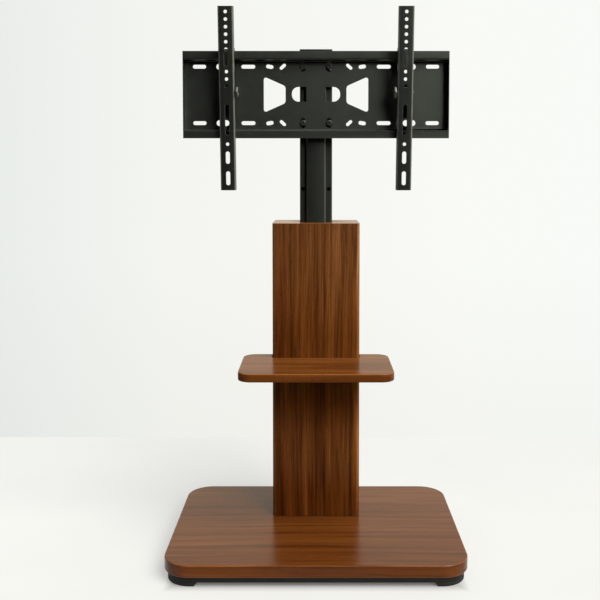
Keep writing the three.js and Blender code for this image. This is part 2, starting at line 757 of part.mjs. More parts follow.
function buildPost(lift) {
  const hollow = punchFlat(postOutline(postWall, postCornerRadius / 2), postLength);
  const holeRows = rows.flatMap((row) => {
    const z = rowMiddle - postBottom + row.sign * slotRowHeight;
    return [
      { z, radius: plateBoltRadius + boltHoleClearance },
      { z: z - spareDrop, radius: spareHoleRadius },
    ];
  });
  const holes = holeRows.flatMap(({ z, radius }) => sides.map((side) => {
    const hole = bore(radius, postWall + 2 * overrun);
    return hole.translate(side.sign * boltOffset, ribHeight - overrun, z);
  }));
  const post = cut(flat(postOutline(0, postCornerRadius), postLength), [hollow, ...holes]);
  add(lift, "lift_post", post, blackSteel, 0, postFrontY, postBottom);

  const spigotInset = postWall + seatGap;
  const spigotRadius = postCornerRadius / 2;
  const cap = join([
    flat(middleBox(postWidth, postDepth, postCornerRadius), capThickness).translate(0, postDepth / 2, 0),
    flat(postOutline(spigotInset, spigotRadius), capSpigot + capThickness / 2).translate(0, 0, -capSpigot),
  ]);
  add(lift, "post_cap", cap, plastic, 0, postFrontY, postTop + seatGap);

  const shoeWidth = sleeveInnerWidth - 2 * runClearance;
  const shoeDepth = sleeveInnerDepth - 2 * runClearance;
  const shoePlan = middleBox(shoeWidth, shoeDepth, sleeveBoreRadius);
  const shoeHeightWhole = shoeHeight + seatGap + shoeSpigot;
  const spigot = flat(postOutline(spigotInset, spigotRadius), shoeHeightWhole);
  const way = punchFlat(middleBox(cableWayWidth, cableWayDepth), shoeHeightWhole);
  const middle = sleeveMiddleY - postFrontY;
  const shoe = cut(join([flat(shoePlan, shoeHeight).translate(0, middle, 0), spigot]), [
    way.translate(0, middle + ribHeight / 2, 0),
  ]);
  add(lift, "post_guide_shoe", shoe, plastic, 0, postFrontY, postBottom - seatGap - shoeHeight);
}

// Mounting plate
function plateSection() {
  const half = plateHeight / 2;
  const t = plateThickness;
  const inner = bendRadius - t;
  return outline([
    [t - trayDepth, -half, 0],
    [t - trayDepth, lowerFold - t, inner],
    [0, lowerFold - t, bendRadius],
    [0, upperFold + t, bendRadius],
    [t - trayDepth, upperFold + t, inner],
    [t - trayDepth, half, 0],
    [-trayDepth, half, 0],
    [-trayDepth, upperFold, bendRadius],
    [-t, upperFold, inner],
    [-t, lowerFold, inner],
    [-trayDepth, lowerFold, bendRadius],
    [-trayDepth, -half, 0],
  ]);
}

// The windows on the right half of the plate, each with its place; the left half mirrors them.
function plateWindows() {
  const window = outline([
    [windowInnerX, -windowInnerHalf, windowInnerRadius],
    [windowOuterX, -windowOuterHalf, windowOuterRadius],
    [windowOuterX, windowOuterHalf, windowOuterRadius],
    [windowInnerX, windowInnerHalf, windowInnerRadius],
  ]);
  const arch = outline([
    [archInnerX, -archHalf, archCornerRadius],
    [archOuterX, -archHalf, archHalf - archCornerRadius],
    [archOuterX, archHalf, archHalf - archCornerRadius],
    [archInnerX, archHalf, archCornerRadius],
  ]);
  const stem = boxOutline(
    keyholeStemOffset - keyholeStemWidth / 2,
    slotRowHeight - keyholeStemLength,
    keyholeStemOffset + keyholeStemWidth / 2,
    slotRowHeight,
    keyholeStemWidth / 2 - archCornerRadius,
  );
  const cutters = [
    [window, windowsAboveMiddle],
    [arch, archesAboveMiddle],
    [stem, rowsAboveMiddle],
  ].map(([shape, rise]) => punchUpright(shape, plateThickness).translate(0, 0, rise));
  const slotWidths = [slotWidth, tallSlotWidth, slotWidth, slotWidth, diagonalSlotWidth];
  const half = plateWidth / 2;
  slotPlaceShares.forEach((placeShare, i) => {
    rows.forEach((row) => {
      const slot = punchUpright(slotOutline(slotLengthShares[i] * half, slotWidths[i]), plateThickness);
      const turn = i === slotPlaceShares.length - 1 ? row.sign : -row.sign;
      slot.rotateY((turn * slotTiltShares[i] * Math.PI) / 2);
      cutters.push(slot.translate(placeShare * half, 0, rowsAboveMiddle + row.sign * slotRowHeight));
    });
  });
  rows.forEach((row) => {
    const slot = punchUpright(slotOutline(boltSlotHeight, boltSlotWidth), plateThickness);
    slot.rotateY(Math.PI / 2);
    cutters.push(slot.translate(boltOffset, 0, rowsAboveMiddle + row.sign * slotRowHeight));
  });
  return cutters;
}

function mirroredInX(geometry) {
  const turnedRound = toSolid(geometry).mirror([1, 0, 0]);
  return toGeometry(turnedRound);
}

function buildPlate(lift) {
  const t = plateThickness;
  const endPlan = boxOutline(-trayDepth, lowerFold - t, -t / 2, upperFold + t);
  const endWalls = sides.map((side) =>
    sideways(endPlan, t).translate((side.sign * (plateWidth - t)) / 2, 0, 0));
  const tray = join([sideways(plateSection(), plateWidth), ...endWalls]);
  const right = plateWindows().map((tool) => tool.translate(0, -t, 0));
  const left = right.map(mirroredInX);
  add(lift, "mounting_plate", cut(tray, [...right, ...left]), blackSteel, 0, plateBackY, plateMid);

  const spacerLength = ribHeight - seatGap;
  const boltLength = plateThickness + ribHeight + postWall + nutBarThickness + 2 * seatGap + boltTail;
  sides.forEach((side) => {
    rows.forEach((row) => {
      const x = side.sign * boltOffset;
      const z = rowMiddle + row.sign * slotRowHeight;
      const bolt = hexBolt(boltLength, plateBoltRadius, boltFlangeRadius, boltFlangeHeight,
        boltHexRadius, boltHexHeight);
      add(lift, `plate_bolt_${row.name}_${side.name}`, bolt, blackSteel, x, plateBackY - t - seatGap, z);
      const spacer = cut(rod(spacerRadius, spacerLength), [
        bore(plateBoltRadius + boltHoleClearance, spacerLength + 2 * overrun).translate(0, -overrun, 0),
      ]);
      add(lift, `plate_spacer_${row.name}_${side.name}`, spacer, zinc, x, plateBackY + seatGap, z);
    });
    const bar = upright(middleBox(nutBarWidth, nutBarLength), nutBarThickness);
    const threads = rows.map((row) =>
      bore(plateBoltRadius + boltHoleClearance, nutBarThickness + 2 * overrun)
        .translate(0, -overrun, row.sign * slotRowHeight));
    const barY = postFrontY + ribHeight + postWall + seatGap;
    add(lift, `threaded_bar_${side.name}`, cut(bar, threads), zinc, side.sign * boltOffset, barY, rowMiddle);
  });
}

// Screen arms
function armChannel() {
  const half = armWidth / 2;
  const t = armThickness;
  const inner = armBendRadius - t;
  const section = outline([
    [-half, armDepth, 0],
    [-half, 0, armBendRadius],
    [half, 0, armBendRadius],
    [half, armDepth, 0],
    [half - t, armDepth, 0],
    [half - t, t, inner],
    [t - half, t, inner],
    [t - half, armDepth, 0],
  ]);
  const channel = flat(section, armLength).translate(0, 0, -armBelowPivot);
  const holeHeights = armSingleHoleShares.map((share) => share * armLength);
  for (let i = 0; i < armTopHoles; i += 1) holeHeights.push(armAbovePivot - armHoleEnd - i * armHolePitch);
  const tools = holeHeights.map((z) => punchUpright(circleOutline(armHoleRadius), t).translate(0, 0, z));
  armSlotPlaceShares.forEach((share, i) => {
    const slot = punchUpright(slotOutline(armSlotLengthShares[i] * armLength, armSlotWidth), t);
    tools.push(slot.rotateY(Math.PI / 2).translate(0, 0, share * armLength));
  });
  const small = middleBox(armSmallHoleWidth, armSmallHoleHeight, armSmallHoleRadius);
  tools.push(punchUpright(small, t, bendSteps).translate(0, 0, armSmallHole));
  const pivotHole = pointRight(bore(pivotBoltRadius + boltHoleClearance, armWidth + 2 * overrun));
  tools.push(pivotHole.translate(-half - overrun, pivotSetback, 0));
  return cut(channel, tools).translate(0, -pivotSetback, 0);
}

// The bracket is drawn from the tilt pivot: two cheeks with hooks over the upper lip, and a web between.
function tiltBracket() {
  const back = pivotReach - seatGap;
  const hookFront = pivotReach + plateThickness + seatGap;
  const hookBack = hookFront + hookThickness;
  const lipTop = upperLipTop + seatGap;
  const front = pivotReach - bracketFrontEdge;
  const bottom = lowerLipBottom - bracketBelowLip;
  const ear = bracketEarRadius;
  const cheek = outline([
    [front, bottom, 0],
    [back, bottom, 0],
    [back, lipTop, 0],
    [hookFront, lipTop, 0],
    [hookFront, upperLipTop - hookDrop, 0],
    [hookBack, upperLipTop - hookDrop, hookThickness / 3],
    [hookBack, lipTop + hookThickness, hookThickness / 2],
    [front, lipTop + hookThickness, hookThickness / 2],
    [front, bracketWaist, hookThickness],
    [-ear, ear / 2, ear],
    [-ear, -ear / 2, ear],
    [front, -bracketWaist, hookThickness],
  ]);
  const halfSpan = (bracketWidth - bracketThickness) / 2;
  const cheeks = sides.map((side) =>
    sideways(cheek, bracketThickness).translate(side.sign * halfSpan, 0, 0));
  const webTop = lipTop + hookThickness / 2;
  const webBottom = lowerLipBottom + catchClearance;
  const webPlan = boxOutline(-bracketWidth / 2, webBottom, bracketWidth / 2, webTop);
  const web = upright(webPlan, bracketThickness).translate(0, webY, 0);
  const windows = [
    [upperWindowMiddle, upperWindowHeight],
    [lowerWindowMiddle, lowerWindowHeight],
  ].map(([z, height]) => {
    const window = middleBox(bracketWindowWidth, height, bracketWindowRadius);
    return punchUpright(window, bracketThickness, bendSteps).translate(0, webY, z);
  });
  const pivotHole = pointRight(bore(pivotBoltRadius + boltHoleClearance, bracketWidth + 2 * overrun));
  const screwHole = bore(catchScrewRadius + seatGap, bracketThickness + 2 * overrun, screwSides);
  return cut(join([...cheeks, web]), [
    ...windows,
    pivotHole.translate(-bracketWidth / 2 - overrun, 0, 0),
    screwHole.translate(0, webY - overrun, catchScrewZ),
  ]);
}

// The catch lies on the web's front, runs back under the lower lip and turns up behind it.
function lipCatch() {
  const t = catchThickness;
  const front = webY - seatGap - t;
  const tipBack = pivotReach + plateThickness + catchClearance + t;
  const under = lowerLipBottom - catchClearance;
  const section = outline([
    [front, under - t, 0],
    [tipBack, under - t, 0],
    [tipBack, under + catchTipHeight, 0],
    [tipBack - t, under + catchTipHeight, 0],
    [tipBack - t, under, 0],
    [front + t, under, 0],
    [front + t, catchScrewZ + catchTopAboveScrew, 0],
    [front, catchScrewZ + catchTopAboveScrew, 0],
  ]);
  const slotLength = catchLift + 2 * (catchScrewRadius + 2 * seatGap);
  const slot = punchUpright(slotOutline(slotLength, 2 * (catchScrewRadius + seatGap)), t);
  return cut(sideways(section, catchWidth), [
    slot.rotateY(Math.PI / 2).translate(0, front, catchScrewZ + catchLift / 2),
  ]);
}

function buildArm(lift, side) {
  const carriage = new THREE.Group();
  carriage.position.set(side.sign * armOffset, pivotY, pivotZ);
  lift.add(carriage);
  add(carriage, `tilt_bracket_${side.name}`, tiltBracket(), blackSteel);
  add(carriage, `lip_catch_${side.name}`, lipCatch(), blackSteel);
  const catchScrewSeat = webY - 2 * seatGap - catchThickness;
  const catchScrewLength = catchThickness + 2 * seatGap + bracketThickness + catchScrewTail;
  const catchScrew = screw(catchScrewLength, catchScrewRadius, catchScrewHeadRadius, catchScrewHeadHeight);
  add(carriage, `catch_screw_${side.name}`, catchScrew, blackSteel, 0, catchScrewSeat, catchScrewZ);

  const tilting = new THREE.Group();
  tilting.rotation.x = THREE.MathUtils.degToRad(restTiltDegrees);
  carriage.add(tilting);
  add(tilting, `screen_arm_${side.name}`, armChannel(), blackSteel);

  // The knob is on the arm's inner side, and its bolt crosses the arm and both cheeks.
  const boltLength = armWidth + seatGap + pivotTail;
  const piece = knob(tiltKnobRadius, tiltKnobThickness, tiltHubRadius, tiltHubLength,
    pivotBoltRadius, boltLength);
  const tiltKnob = side.sign < 0 ? pointLeft(piece) : pointRight(piece);
  add(carriage, `tilt_knob_${side.name}`, tiltKnob, blackSteel, -side.sign * (armWidth / 2 + seatGap), 0, 0);
}

const stand = new THREE.Group();
buildBase(stand);
buildPlinth(stand);
buildFeet(stand);
buildColumn(stand);
buildSleeve(stand);
buildLockScrews(stand);
buildShelf(stand);
const lift = new THREE.Group();
stand.add(lift);
buildPost(lift);
buildPlate(lift);
sides.forEach((side) => buildArm(lift, side));

export default stand;
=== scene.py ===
"""The looks of the television stand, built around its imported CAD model.

Sizes of shapes are millimetres, as in the part's source. Materials, the camera and Blender itself are
in metres. +X is the viewer's right, +Y goes back and +Z is up.
"""

import json
import math

import bmesh
import bpy
from mathutils import Matrix, Vector


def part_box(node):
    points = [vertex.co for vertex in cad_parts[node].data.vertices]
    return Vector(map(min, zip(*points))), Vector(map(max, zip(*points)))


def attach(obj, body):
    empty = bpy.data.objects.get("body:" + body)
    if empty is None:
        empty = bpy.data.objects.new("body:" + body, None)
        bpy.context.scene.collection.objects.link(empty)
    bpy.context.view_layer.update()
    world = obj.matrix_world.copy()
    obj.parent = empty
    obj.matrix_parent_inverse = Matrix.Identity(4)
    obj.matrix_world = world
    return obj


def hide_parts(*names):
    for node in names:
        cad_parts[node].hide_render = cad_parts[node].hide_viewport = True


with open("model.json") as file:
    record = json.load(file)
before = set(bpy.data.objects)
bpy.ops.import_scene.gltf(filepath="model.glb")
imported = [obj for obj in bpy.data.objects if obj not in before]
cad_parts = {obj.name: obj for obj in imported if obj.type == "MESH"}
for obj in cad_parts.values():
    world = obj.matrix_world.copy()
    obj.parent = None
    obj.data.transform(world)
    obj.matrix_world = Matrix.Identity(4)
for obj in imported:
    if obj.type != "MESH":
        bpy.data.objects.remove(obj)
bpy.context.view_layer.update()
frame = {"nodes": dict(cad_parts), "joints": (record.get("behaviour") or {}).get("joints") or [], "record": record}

MM = 0.001
# How many steps the round parts of outlines and turned pieces are drawn in
BEND_STEPS, FINE_STEPS, ROUND_STEPS, ARCH_STEPS, CORNER_STEPS = 6, 8, 10, 12, 16
CIRCLE_STEPS, TURNED_SIDES = 24, 32
# Below these distances, in metres, points are one, in a new solid and in a finished piece
PRISM_WELD, PIECE_WELD, SHORTEST_EDGE = 1e-7, 2e-6, 1e-6
# Corners sharper than this many degrees are eased
SHARP = 35
SIDES = {"left": -1, "right": 1}
PLANES = {
    "plan": lambda a, b, depth: (a, b, depth),
    "front": lambda a, b, depth: (a, depth, b),
    "side": lambda a, b, depth: (depth, a, b),
}
joints = {joint["name"]: joint for joint in frame["joints"]}


# Outlines, in millimetres
def outline(corners, steps=BEND_STEPS):
    """The points of a closed outline whose corners are (x, y, radius), anticlockwise."""
    points = []
    for i, (x, y, radius) in enumerate(corners):
        here = Vector((x, y))
        back = (Vector(corners[i - 1][:2]) - here).normalized()
        ahead = (Vector(corners[(i + 1) % len(corners)][:2]) - here).normalized()
        if radius <= 0:
            points.append(here)
            continue
        half = back.angle(ahead) / 2
        centre = here + (back + ahead).normalized() * (radius / math.sin(half))
        spoke = here + back * (radius / math.tan(half)) - centre
        sweep = math.pi - 2 * half
        turn = 1 if back.cross(ahead) < 0 else -1
        for k in range(steps + 1):
            points.append(centre + Matrix.Rotation(turn * sweep * k / steps, 2) @ spoke)
    return points


def box_outline(low_x, low_y, high_x, high_y, radius=0, steps=BEND_STEPS):
    corners = [(low_x, low_y), (high_x, low_y), (high_x, high_y), (low_x, high_y)]
    return outline([(x, y, radius) for x, y in corners], steps)


def slot_outline(length, width):
    """A slot with round ends that lies along the first axis."""
    points = []
    for side in (1, -1):
        for k in range(ROUND_STEPS + 1):
            angle = math.pi * k / ROUND_STEPS - side * math.pi / 2
            points.append(Vector((
                side * (length - width) / 2 + width / 2 * math.cos(angle),
                width / 2 * math.sin(angle),
            )))
    return points


def circle_outline(radius, steps=CIRCLE_STEPS):
    angles = [2 * math.pi * k / steps for k in range(steps)]
    return [Vector((radius * math.cos(angle), radius * math.sin(angle))) for angle in angles]


def moved(points, x=0, y=0, angle=0):
    spin = Matrix.Rotation(angle, 2)
    return [spin @ point + Vector((x, y)) for point in points]


# Solids
def prism(points, low, high, plane):
    """A closed solid of an outline, from low to high along the axis that the plane leaves out."""
    place = PLANES[plane]
    bm = bmesh.new()
    rings = [[bm.verts.new(Vector(place(a, b, depth)) * MM) for a, b in points] for depth in (low, high)]
    bm.faces.new(rings[0])
    bm.faces.new(rings[1])
    for i in range(len(points)):
        j = (i + 1) % len(points)
        bm.faces.new((rings[0][i], rings[0][j], rings[1][j], rings[1][i]))
    bmesh.ops.remove_doubles(bm, verts=bm.verts, dist=PRISM_WELD)
    bmesh.ops.recalc_face_normals(bm, faces=bm.faces)
    return bm


def lathe(profile, sides=TURNED_SIDES):
    """A solid turned about the y axis, from (radius, y) pairs that start and end on the axis."""
    bm = bmesh.new()
    rings = []
    for radius, y in profile:
        points = circle_outline(radius, sides) if radius else [(0, 0)]
        rings.append([bm.verts.new(Vector((x, y, z)) * MM) for x, z in points])
    for first, second in zip(rings, rings[1:]):
        for k in range(sides):
            corners = [
                first[k % len(first)], first[(k + 1) % len(first)],
                second[(k + 1) % len(second)], second[k % len(second)],
            ]
            bm.faces.new(list(dict.fromkeys(corners)))
    bmesh.ops.recalc_face_normals(bm, faces=bm.faces)
    return bm


def merged(parts):
    """One bmesh that holds every shell of the parts."""
    whole = bmesh.new()
    for part in parts:
        mesh = bpy.data.meshes.new("part")
        part.to_mesh(mesh)
        part.free()
        whole.from_mesh(mesh)
        bpy.data.meshes.remove(mesh)
    return whole


def new_object(name, bm):
    mesh = bpy.data.meshes.new(name)
    bm.to_mesh(mesh)
    bm.free()
    piece = bpy.data.objects.new(name, mesh)
    bpy.context.scene.collection.objects.link(piece)
    return piece


def combine(piece, parts, operation):
    """Joins or cuts a piece with other solids and keeps only the result."""
    tool = new_object("tool", merged(parts))
    modifier = piece.modifiers.new("combine", "BOOLEAN")
    modifier.operation = operation
    modifier.solver = "EXACT"
    modifier.use_self = True
    modifier.object = tool
    bpy.context.view_layer.update()
    graph = bpy.context.evaluated_depsgraph_get()
    result = bpy.data.meshes.new_from_object(piece.evaluated_get(graph))
    piece.modifiers.remove(modifier)
    old = piece.data
    piece.data = result
    bpy.data.meshes.remove(old)
    tool_mesh = tool.data
    bpy.data.objects.remove(tool)
    bpy.data.meshes.remove(tool_mesh)
    return piece


def settle(piece, material, node, edge, segments=2, limit=SHARP, ends=None):
    """Eases a piece's edges, gives it its material and lets it stand for its CAD node.

    Faces that look up or down get the ends material, if there is one.
    """
    tidy = bmesh.new()
    tidy.from_mesh(piece.data)
    bmesh.ops.remove_doubles(tidy, verts=tidy.verts, dist=PIECE_WELD)
    bmesh.ops.dissolve_degenerate(tidy, edges=tidy.edges, dist=SHORTEST_EDGE)
    tidy.to_mesh(piece.data)
    tidy.free()
    for polygon in piece.data.polygons:
        polygon.use_smooth = True
    if edge:
        bevel = piece.modifiers.new("edges", "BEVEL")
        bevel.width = edge * MM
        bevel.segments = segments
        bevel.limit_method = "ANGLE"
        bevel.angle_limit = math.radians(limit)
        bevel.use_clamp_overlap = False
        bevel.harden_normals = True
        bevel.miter_outer = "MITER_ARC"
    else:
        piece.data.set_sharp_from_angle(angle=math.radians(limit))
    piece.data.materials.clear()
    piece.data.materials.append(material)
    if ends:
        piece.data.materials.append(ends)
        for polygon in piece.data.polygons:
            polygon.material_index = int(abs(polygon.normal.z) > 0.9)
    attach(piece, bodies_of[node])
    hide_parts(node)
    return piece


bodies_of = {
    node: body for body, members in frame["record"]["behaviour"]["bodies"].items() for node in members
}


# Materials
class Graph:
    """Short calls for a material's nodes."""

    def __init__(self, name, owner=None):
        self.material = owner or bpy.data.materials.new(name)
        self.material.use_nodes = True
        self.tree = self.material.node_tree
        self.shader = self.tree.nodes.get("Principled BSDF")

    def node(self, kind, **values):
        made = self.tree.nodes.new(kind)
        for key, value in values.items():
            setattr(made, key, value)
        return made

    def link(self, source, target):
        self.tree.links.new(source, target)

    def feed(self, socket, value):
        if isinstance(value, bpy.types.NodeSocket):
            self.link(value, socket)
        else:
            socket.default_value = value

    def math(self, operation, a, b=0.5):
        made = self.node("ShaderNodeMath", operation=operation)
        self.feed(made.inputs[0], a)
        self.feed(made.inputs[1], b)
        return made.outputs[0]

    def vector(self, operation, a, b):
        made = self.node("ShaderNodeVectorMath", operation=operation)
        self.feed(made.inputs[0], a)
        self.feed(made.inputs[1], b)
        return made.outputs[0]

    def place(self):
        return self.node("ShaderNodeTexCoord").outputs["Object"]

    def split(self, vector):
        """The x, y and z of a vector."""
        made = self.node("ShaderNodeSeparateXYZ")
        self.link(vector, made.inputs[0])
        return made.outputs

    def facing(self):
        return self.split(self.node("ShaderNodeNewGeometry").outputs["True Normal"])

    def times(self, a, b):
        return self.math("MULTIPLY", a, b)

    def noise(self, vector, scale, detail=2.0, roughness=0.5, output=0):
        made = self.node("ShaderNodeTexNoise")
        self.link(vector, made.inputs["Vector"])
        made.inputs["Scale"].default_value = scale
        made.inputs["Detail"].default_value = detail
        made.inputs["Roughness"].default_value = roughness
        return made.outputs[output]

    def ramp(self, factor, stops):
        made = self.node("ShaderNodeValToRGB")
        self.link(factor, made.inputs[0])
        elements = made.color_ramp.elements
        while len(elements) < len(stops):
            elements.new(0.5)
        for element, (place, colour) in zip(elements, stops):
            element.position = place
            element.color = (*colour, 1)
        return made.outputs[0]

    def span(self, value, low, high, out_low=0.0, out_high=1.0):
        made = self.node("ShaderNodeMapRange")
        self.link(value, made.inputs["Value"])
        limits = {"From Min": low, "From Max": high, "To Min": out_low, "To Max": out_high}
        for key, number in limits.items():
            made.inputs[key].default_value = number
        return made.outputs[0]

    def mix(self, factor, a, b, blend="MIX"):
        """Mixes two colours. The node's colour sockets are inputs 6 and 7 and output 2."""
        made = self.node("ShaderNodeMix", data_type="RGBA", blend_type=blend)
        self.feed(made.inputs[0], factor)
        self.feed(made.inputs[6], a)
        self.feed(made.inputs[7], b)
        return made.outputs[2]

    def bump(self, height, strength, distance):
        made = self.node("ShaderNodeBump")
        made.inputs["Strength"].default_value = strength
        made.inputs["Distance"].default_value = distance
        self.link(height, made.inputs["Height"])
        self.link(made.outputs[0], self.shader.inputs["Normal"])

    def surface(self, colour, roughness):
        self.link(colour, self.shader.inputs["Base Color"])
        self.link(roughness, self.shader.inputs["Roughness"])

    def constants(self, **values):
        for key, value in values.items():
            self.shader.inputs[key.replace("_", " ")].default_value = value


def srgb(red, green, blue):
    """A screen colour from 0 to 255, as Blender's linear numbers."""
    shares = (channel / 255 for channel in (red, green, blue))
    return tuple(c / 12.92 if c <= 0.04045 else ((c + 0.055) / 1.055) ** 2.4 for c in shares)


# Walnut's colours from its darkest streaks to its lightest, and how dark and light figure they stand for
WALNUT = [
    (0.34, srgb(52, 24, 7)), (0.44, srgb(82, 44, 16)), (0.505, srgb(100, 57, 23)),
    (0.57, srgb(112, 65, 27)), (0.68, srgb(132, 81, 39)),
]
FIGURE_MIDDLE = 0.505
# How soft the edge of a patch of painted shade is, in metres
SHADE_PATCH_BLUR = 0.004
# Painted highlights: lit wood edges are multiplied by the first colour, lit steel bends take the second grey
PAINTED_EDGE_HIGHLIGHT = (1.9, 2.2, 2.8, 1)
PAINTED_BEND_HIGHLIGHT = srgb(118, 121, 112)


def walnut(name, grain, shift, contrast=1.0, end_grain=None, coat=0.8, edge_axis=None, band=None,
           rub_and_highlight=0.5, tint=(1.0, 1.0, 1.0), shade_patches=(), painted_shade=None):
    """Walnut veneer whose grain runs along one axis, or along another on faces that look up or down.

    Edges that are rounded towards edge_axis get a painted highlight: they are lighter, as if they
    caught the light. Faces that look sideways are edge band, whose colour is the wood's times band.
    Shade patches are painted shade, as their lowest and highest x, lowest and highest z and the colour
    that the wood is multiplied by there. The painted shade by height is a list of heights in metres
    with such a colour.
    """
    g = Graph(name)
    place = g.vector("ADD", g.place(), shift)
    facing = g.facing()
    if end_grain:
        up = g.math("GREATER_THAN", g.math("ABSOLUTE", facing[2]), 0.7)
        swapped = g.node("ShaderNodeCombineXYZ")
        apart = g.split(place)
        for target, source in enumerate(end_grain):
            g.link(apart[source], swapped.inputs[target])
        place = g.mix(up, place, swapped.outputs[0])
    drift = g.noise(g.vector("MULTIPLY", place, stretch(grain, 0.3)), 5.0, output="Color")
    drift = g.vector("MULTIPLY", g.vector("SUBTRACT", drift, (0.5, 0.5, 0.5)), (0.035, 0.035, 0.035))
    wavy = g.vector("ADD", place, drift)
    bands = g.noise(g.vector("MULTIPLY", wavy, stretch(grain, 0.03)), 62.0, 2.0, 0.6)
    streaks = g.noise(g.vector("MULTIPLY", wavy, stretch(grain, 0.018)), 210.0, 3.0, 0.6)
    fibres = g.noise(g.vector("MULTIPLY", place, stretch(grain, 0.02)), 640.0, 3.0, 0.6)
    pores = g.noise(g.vector("MULTIPLY", place, stretch(grain, 0.05)), 1150.0, 1.0, 0.4)
    tone = g.noise(g.vector("MULTIPLY", wavy, stretch(grain, 0.06)), 16.0, 2.0)

    mixed = g.math("ADD", g.times(bands, 0.5), g.times(streaks, 0.34))
    mixed = g.math("ADD", mixed, g.times(fibres, 0.16))
    mixed = g.times(g.math("SUBTRACT", mixed, FIGURE_MIDDLE), contrast)
    mixed = g.math("ADD", mixed, FIGURE_MIDDLE)
    colour = g.ramp(mixed, WALNUT)
    colour = g.mix(1.0, colour, (*tint, 1), "MULTIPLY")
    ruddy = g.mix(1.0, colour, (0.86, 0.78, 0.7, 1), "MULTIPLY")
    brown = g.mix(1.0, colour, (1.12, 1.14, 1.16, 1), "MULTIPLY")
    colour = g.mix(g.span(tone, 0.36, 0.64), brown, ruddy)
    pore_mask = g.span(pores, 0.3, 0.37, 1.0, 0.0)
    darkest = WALNUT[0][1]
    colour = g.mix(g.times(pore_mask, 0.45), colour, (*darkest, 1))
    # Painted shade: patches where the wood is darker, standing for less light falling there
    if shade_patches:
        across = g.split(wavy)
    for low_x, high_x, low_z, high_z, shade in shade_patches:
        inside = g.times(within(g, across[0], low_x + shift[0], high_x + shift[0]),
                         within(g, across[2], low_z + shift[2], high_z + shift[2]))
        colour = g.mix(inside, colour, g.mix(1.0, colour, (*shade, 1), "MULTIPLY"))
    # Painted shade by height: the colour is multiplied by a tone that changes with height
    if painted_shade:
        height_range = painted_shade[-1][0]
        stops = [(height / height_range, tone_here) for height, tone_here in painted_shade]
        painted_shade_tone = g.ramp(g.times(g.split(g.place())[2], 1 / height_range), stops)
        colour = g.mix(1.0, colour, painted_shade_tone, "MULTIPLY")
    # Painted highlight: edges rounded towards edge_axis are lighter, as if they caught the light
    if edge_axis is not None:
        turned = g.math("ABSOLUTE", facing[edge_axis])
        rubbed = g.times(g.span(turned, 0.12, 0.5), g.span(turned, 0.99, 0.85))
        lighter = g.mix(1.0, colour, PAINTED_EDGE_HIGHLIGHT, "MULTIPLY")
        colour = g.mix(g.times(rubbed, rub_and_highlight), colour, lighter)
    if band:
        sideways = g.span(g.math("ABSOLUTE", facing[2]), 0.3, 0.1)
        colour = g.mix(sideways, colour, g.mix(1.0, colour, (*band, 1), "MULTIPLY"))
    g.surface(colour, g.span(streaks, 0.3, 0.7, 0.52, 0.4))
    height = g.math("SUBTRACT", g.times(fibres, 0.4), g.times(pore_mask, 0.6))
    g.bump(height, 0.12, 0.0002)
    g.constants(Specular_IOR_Level=0.0, Coat_Weight=coat, Coat_Roughness=0.24, Coat_IOR=1.3)
    return g.material


def within(g, value, low, high):
    """1 between two places and 0 beyond them, with soft ends."""
    past_low = g.span(value, low - SHADE_PATCH_BLUR, low + SHADE_PATCH_BLUR)
    return g.times(past_low, g.span(value, high + SHADE_PATCH_BLUR, high - SHADE_PATCH_BLUR))


def stretch(grain, share):
    return tuple(share if axis == grain else 1.0 for axis in "xyz")


def powder_coat(name, colour=(7, 8, 6), roughness=0.38, shine=1.0, worn=0.0):
    """Black powder coat. A share of a lighter grey is painted on bends and broken edges as a painted highlight,
    light caught on their rounding.
    """
    g = Graph(name)
    place = g.place()
    peel = g.noise(place, 900.0, 2.0, 0.5)
    grit = g.noise(place, 2600.0, 1.0, 0.5)
    cloud = g.noise(place, 9.0, 3.0, 0.55)
    rub_and_highlight = g.noise(place, 60.0, 4.0, 0.7)
    base = srgb(*colour)
    lighter = srgb(*(channel * 1.12 + 2 for channel in colour))
    darker = srgb(*(channel * 0.84 for channel in colour))
    shade = g.ramp(cloud, [(0.3, darker), (0.5, base), (0.75, lighter)])
    shade = g.mix(g.span(grit, 0.62, 0.8, 0.0, 0.35), shade, (*lighter, 1))
    # Painted highlight: bends and broken edges get a lighter grey, as if they caught the light
    if worn:
        along_x, along_y, along_z = (g.math("ABSOLUTE", part) for part in g.facing())
        straight = g.math("MAXIMUM", g.math("MAXIMUM", along_x, along_y), along_z)
        bend = g.times(g.span(straight, 0.98, 0.94), g.span(rub_and_highlight, 0.25, 0.6, 0.6, 1.0))
        shade = g.mix(g.times(bend, worn), shade, (*PAINTED_BEND_HIGHLIGHT, 1))
    g.surface(shade, g.span(rub_and_highlight, 0.3, 0.7, roughness - 0.03, roughness + 0.03))
    g.bump(g.math("ADD", g.times(peel, 0.7), g.times(grit, 0.3)), 0.16, 0.00012)
    g.constants(Specular_IOR_Level=shine, Specular_Tint=(0.93, 1.0, 0.86, 1))
    return g.material


def bright_zinc(name, colour, roughness):
    """Zinc plating with a faint spangle and a few yellowish smudges."""
    g = Graph(name)
    place = g.place()
    spangle = g.noise(place, 260.0, 3.0, 0.6)
    smudge = g.noise(place, 45.0, 3.0, 0.6)
    base = srgb(*colour)
    dull = srgb(*(channel * 0.78 for channel in colour))
    yellow = srgb(colour[0], colour[1] * 0.95, colour[2] * 0.84)
    shade = g.mix(g.span(spangle, 0.35, 0.65), (*dull, 1), (*base, 1))
    shade = g.mix(g.span(smudge, 0.5, 0.8, 0.0, 0.5), shade, (*yellow, 1))
    g.surface(shade, g.span(smudge, 0.3, 0.7, roughness - 0.07, roughness + 0.12))
    g.bump(spangle, 0.08, 0.0001)
    g.constants(Metallic=1.0)
    return g.material


